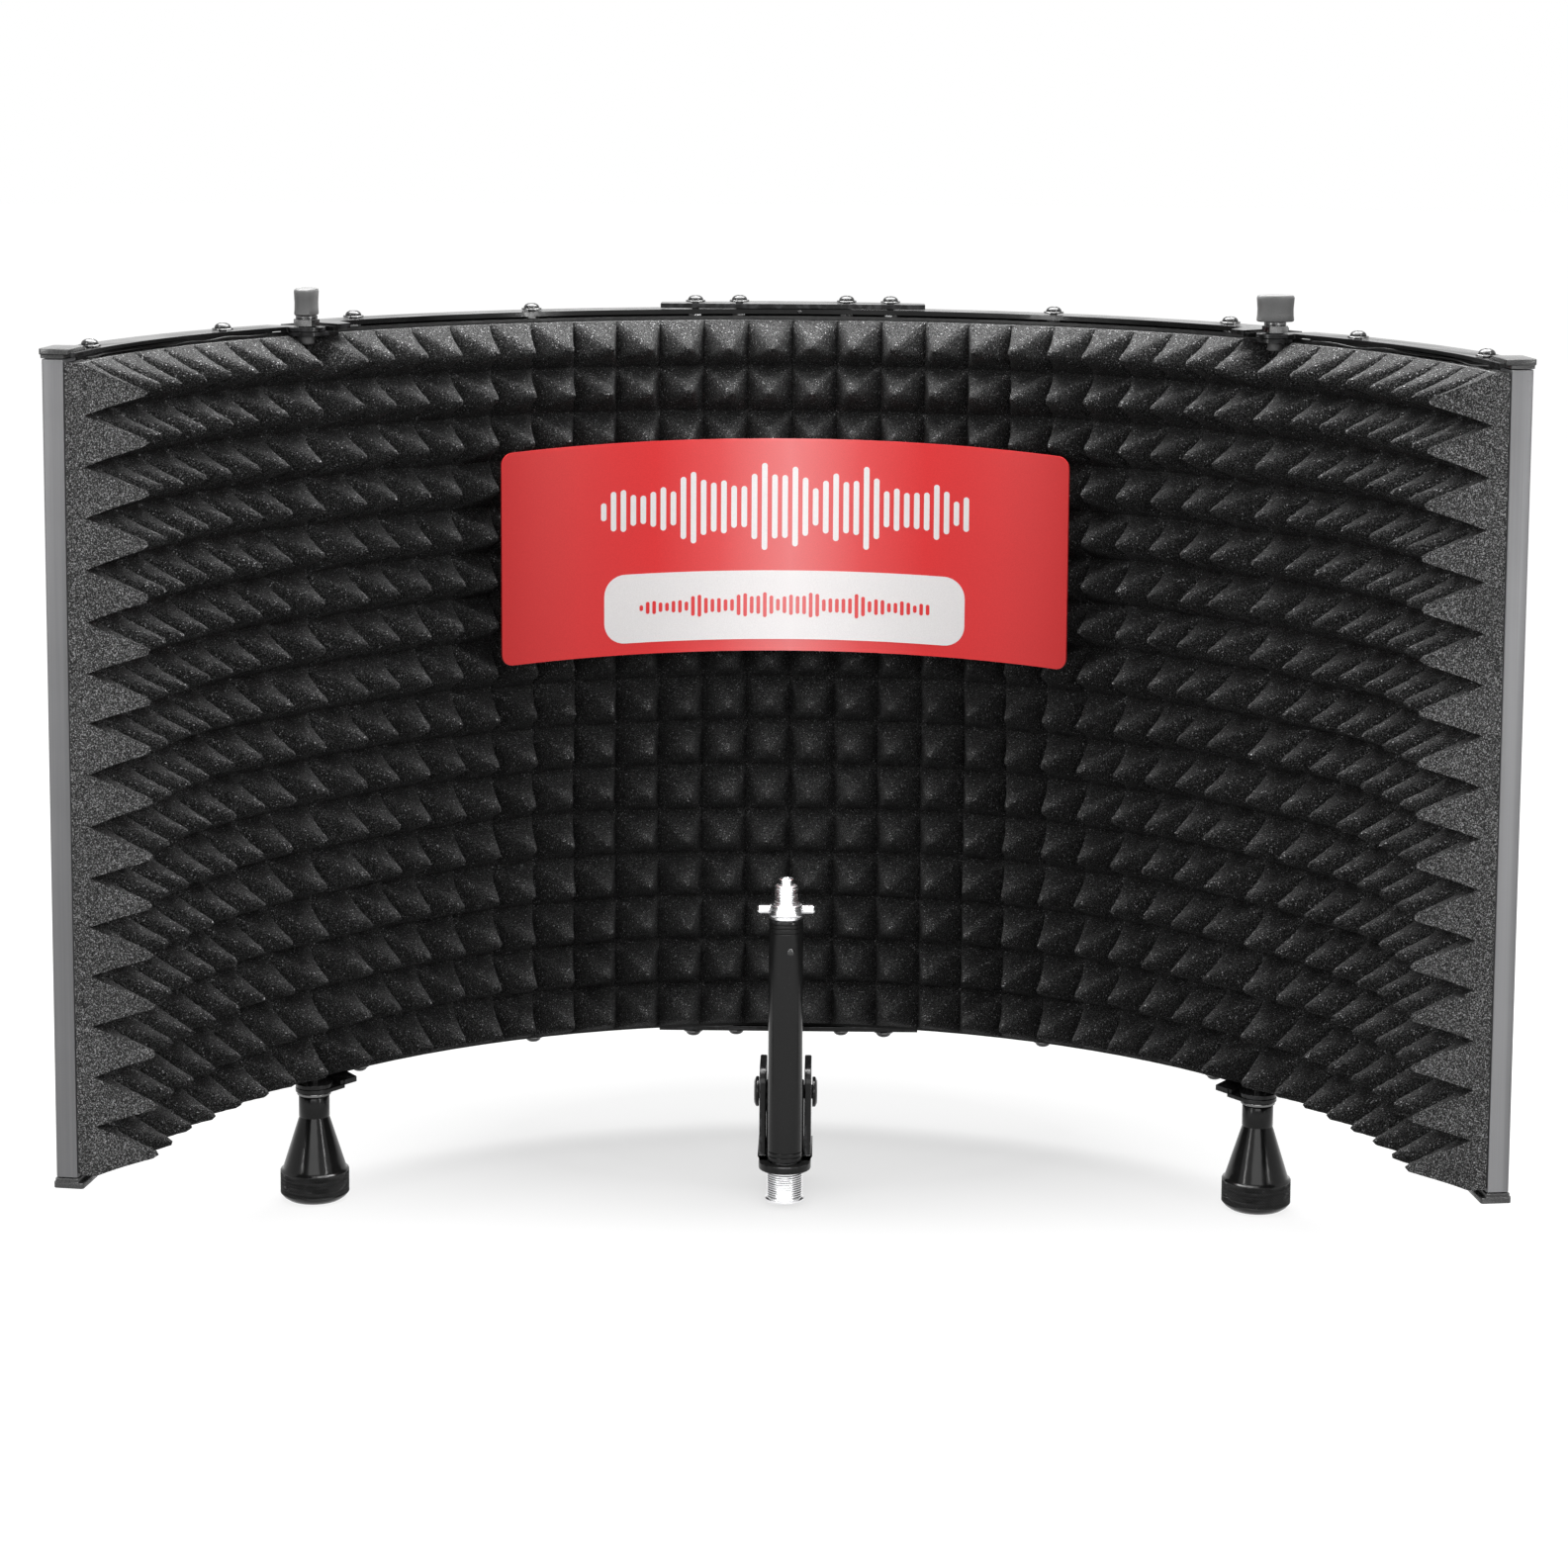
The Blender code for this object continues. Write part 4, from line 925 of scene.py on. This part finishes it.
set_screw_turn = math.radians(18)
set_screw_out = Vector((math.sin(set_screw_turn), -math.cos(set_screw_turn), 0.0))
set_screw_place = Vector((*POST, tube_high.z - 12.5 * MM)) + set_screw_out * 6.85 * MM
small_dome("post_set_screw", 1.5 * MM, 0.5 * MM, set_screw_place, set_screw_out, "mic_yoke", "screw_metal")
bracket_front = ARC_Y + 244.5 * MM
rivet_place = (3.0 * MM, bracket_front, FOAM_HIGH + 3.6 * MM)
small_dome("centre_rail_rivet", 1.1 * MM, 0.5 * MM, rivet_place, (0, -1, 0), "centre_panel", "screw_metal")


# Rolled front edges of the wings' top rails


def rolled_edge(name, side):
    """A thin bead under the front edge of a wing's top rail, which waves a little."""
    sway = waves(90 + side, 4)
    ring_points = 8
    steps = 120
    rings = []
    for i in range(steps + 1):
        t = i / steps
        angle = 57.0 + (85.6 - 57.0) * t
        z = FOAM_HIGH + (1.15 + 0.28 * float(sway(t * 26, 1.0))) * MM
        radius = (244.2 + 0.25 * float(sway(3.0, t * 22))) * MM
        x, y = plan(side, radius, angle)
        ring = []
        for k in range(ring_points):
            turn = 2 * math.pi * k / ring_points
            dx, dy = plan(side, radius + 0.32 * MM * math.cos(turn), angle)
            ring.append((float(dx), float(dy), z + 0.32 * MM * math.sin(turn)))
        rings.append(ring)
    points, faces = loft(rings)
    mesh = mesh_from(points, faces)
    add(name + "_wing_top_rail_bead", mesh, name + "_wing", "black_metal", sharp=60.0)


for name, side in SIDES.items():
    rolled_edge(name, side)


# Card: a curved printed sheet with a white panel and a plain level-meter pattern on it

CARD_R = 215.2 * MM
CARD_THICK = 0.8 * MM
CARD_HALF = CARD_R * math.radians(32.6)
card_low, card_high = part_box("display_card")

CARD_SHIFT = 2.4 * MM


def card_bow(s, z):
    """The card is cut a little arched, most at its top edge."""
    u = min(1.0, abs(s) / CARD_HALF)
    t = (z - card_low.z) / (card_high.z - card_low.z)
    middle, corner = 3.9 - 1.4 * t, 1.9 - 2.9 * t
    return (middle * (1 - u * u) + corner * u * u) * MM


def curved_plate(radius, thick, s_low, s_high, z_low, z_high, corner, columns=None):
    """A plate on the card's arc with round corners; s runs along the arc from the middle."""
    columns = columns or max(8, int((s_high - s_low) / (2.5 * MM)))
    stops = set(np.linspace(s_low, s_high, columns + 1))
    for k in range(9):
        reach = corner * (1 - math.sin(math.radians(90 * k / 8)))
        stops |= {s_low + reach, s_high - reach}
    stops = sorted(stops)
    rows = 6
    points = []
    for layer in (0, 1):
        for s in stops:
            near = max(0.0, corner - min(s - s_low, s_high - s))
            cut = corner - math.sqrt(max(0.0, corner**2 - near**2))
            for j in range(rows + 1):
                z = z_low + cut + (z_high - z_low - 2 * cut) * j / rows
                z += card_bow(s, z)
                x, y = plan(0, radius + thick * layer, math.degrees((s - CARD_SHIFT) / CARD_R))
                points.append((float(x), float(y), z))
    bm = bmesh.new()
    verts = [bm.verts.new(p) for p in points]
    width = rows + 1
    layer_size = len(stops) * width
    for i in range(len(stops) - 1):
        for j in range(rows):
            a = i * width + j
            front = (a, a + 1, a + width + 1, a + width)
            bm.faces.new([verts[k] for k in front])
            bm.faces.new([verts[k + layer_size] for k in reversed(front)])
    for i in range(len(stops) - 1):
        for j in (0, rows):
            a, b = i * width + j, (i + 1) * width + j
            bm.faces.new([verts[a], verts[b], verts[b + layer_size], verts[a + layer_size]])
    for i in (0, len(stops) - 1):
        for j in range(rows):
            a, b = i * width + j, i * width + j + 1
            bm.faces.new([verts[a], verts[b], verts[b + layer_size], verts[a + layer_size]])
    bmesh.ops.remove_doubles(bm, verts=bm.verts, dist=1e-6)
    return bm


card_mesh = mesh_of(
    curved_plate(CARD_R, CARD_THICK, -CARD_HALF, CARD_HALF, card_low.z, card_high.z, 5.0 * MM, 120)
)
add("display_card_sheet", card_mesh, "centre_panel", "card", "display_card")

PRINT = 0.06 * MM
PRINT_R = CARD_R - PRINT - 0.02 * MM
PATCH_HALF = CARD_R * math.radians(20.4)
PATCH_Z = (217.5 * MM, 247.1 * MM)
patch = mesh_of(curved_plate(PRINT_R, PRINT, -PATCH_HALF, PATCH_HALF, *PATCH_Z, 9.0 * MM, 80))
add("display_card_white_panel", patch, "centre_panel", "card", finish=CARD_WHITE)


def level_bars(name, radius, middle_z, tallest, half_width, count, finish, seed):
    """A row of round-ended upright bars, as tall as a made-up sound wave."""
    rng = random.Random(seed)
    whole = bmesh.new()
    pitch = 2 * half_width / count
    for i in range(count):
        s = -half_width + (i + 0.5) * pitch
        envelope = 0.35 + 0.65 * math.cos(math.pi / 2 * abs(s) / half_width * 0.92)
        wave = 0.45 + 0.55 * abs(math.sin(i * 0.9) * math.cos(i * 0.37))
        tall = tallest * envelope * wave * rng.uniform(0.85, 1.0)
        wide = pitch * 0.56
        ends = (s - wide / 2, s + wide / 2)
        heights = (middle_z - tall / 2, middle_z + tall / 2)
        bar = curved_plate(radius, PRINT, *ends, *heights, wide / 2 * 0.98, 4)
        mesh = bpy.data.meshes.new("bar")
        bar.to_mesh(mesh)
        bar.free()
        whole.from_mesh(mesh)
        bpy.data.meshes.remove(mesh)
    add(name, mesh_of(whole), "centre_panel", "card", finish=finish)


level_bars("display_card_white_bars", PRINT_R, 274.5 * MM, 42 * MM, 79 * MM, 37, CARD_WHITE, 3)
level_bars("display_card_red_bars", PRINT_R - PRINT, 232.3 * MM, 13 * MM, 62 * MM, 45, FINISH["card"], 5)


# Floor, lights and camera

scene = bpy.context.scene
floor_mesh = mesh_from([(-6, -4, 0), (6, -4, 0), (6, 9, 0), (-6, 9, 0)], [(0, 1, 2, 3)])
floor_mesh.materials.append(floor_finish())
floor = bpy.data.objects.new("floor", floor_mesh)
scene.collection.objects.link(floor)
floor.visible_diffuse = False

dome_form = bmesh.new()
bmesh.ops.create_uvsphere(dome_form, u_segments=48, v_segments=24, radius=9.0)
dome_mesh = mesh_of(dome_form)
dome_mesh.materials.append(backdrop_finish())
dome = bpy.data.objects.new("backdrop", dome_mesh)
scene.collection.objects.link(dome)
dome.visible_diffuse = False
dome.visible_transmission = False
dome.visible_shadow = False

world = bpy.data.worlds.new("studio")
world.use_nodes = True
world.node_tree.nodes["Background"].inputs["Color"].default_value = (1.0, 1.0, 1.0, 1.0)
world.node_tree.nodes["Background"].inputs["Strength"].default_value = 0.17
scene.world = world


def softbox(name, place, aim, size, watts):
    light = bpy.data.lights.new(name, "AREA")
    light.shape = "RECTANGLE"
    light.size, light.size_y = size
    light.energy = watts
    made = bpy.data.objects.new(name, light)
    made.location = place
    made.rotation_euler = (Vector(aim) - Vector(place)).to_track_quat("-Z", "Y").to_euler()
    scene.collection.objects.link(made)


softbox("top_softbox", (0.0, 0.3, 1.25), (0.0, 0.0, 0.33), (1.5, 0.7), 74)
softbox("high_front_softbox", (0.0, -0.4, 1.9), (0.0, 0.0, 0.2), (1.2, 0.6), 23)
softbox("low_front_softbox", (0.0, -2.2, 0.8), (0.0, 0.0, 0.2), (1.6, 0.9), 14)
softbox("left_strip", (-1.05, -0.95, 0.7), (0.0, 0.0, 0.1), (0.06, 1.3), 9)
softbox("right_strip", (1.05, -0.95, 0.7), (0.0, 0.0, 0.1), (0.06, 1.3), 9)

SENSOR = 36.0
DOWN = 7.13
YAW = 0.893
ROLL = 0.332
camera = bpy.data.cameras.new("camera")
camera.sensor_width = SENSOR
camera.lens = 86.09
camera.shift_x = 0.0052
camera.shift_y = -0.18
camera.clip_end = 30
eye = bpy.data.objects.new("camera", camera)
turn = Euler((math.radians(90 - DOWN), 0.0, math.radians(YAW))).to_matrix().to_4x4()
place = Matrix.Translation((18.0 * MM, ARC_Y - 1341.7 * MM, 474.2 * MM))
eye.matrix_world = place @ turn @ Matrix.Rotation(math.radians(ROLL), 4, "Z")
scene.collection.objects.link(eye)
scene.camera = eye
scene.view_settings.view_transform = "Standard"
scene.view_settings.look = "None"

bpy.context.view_layer.update()
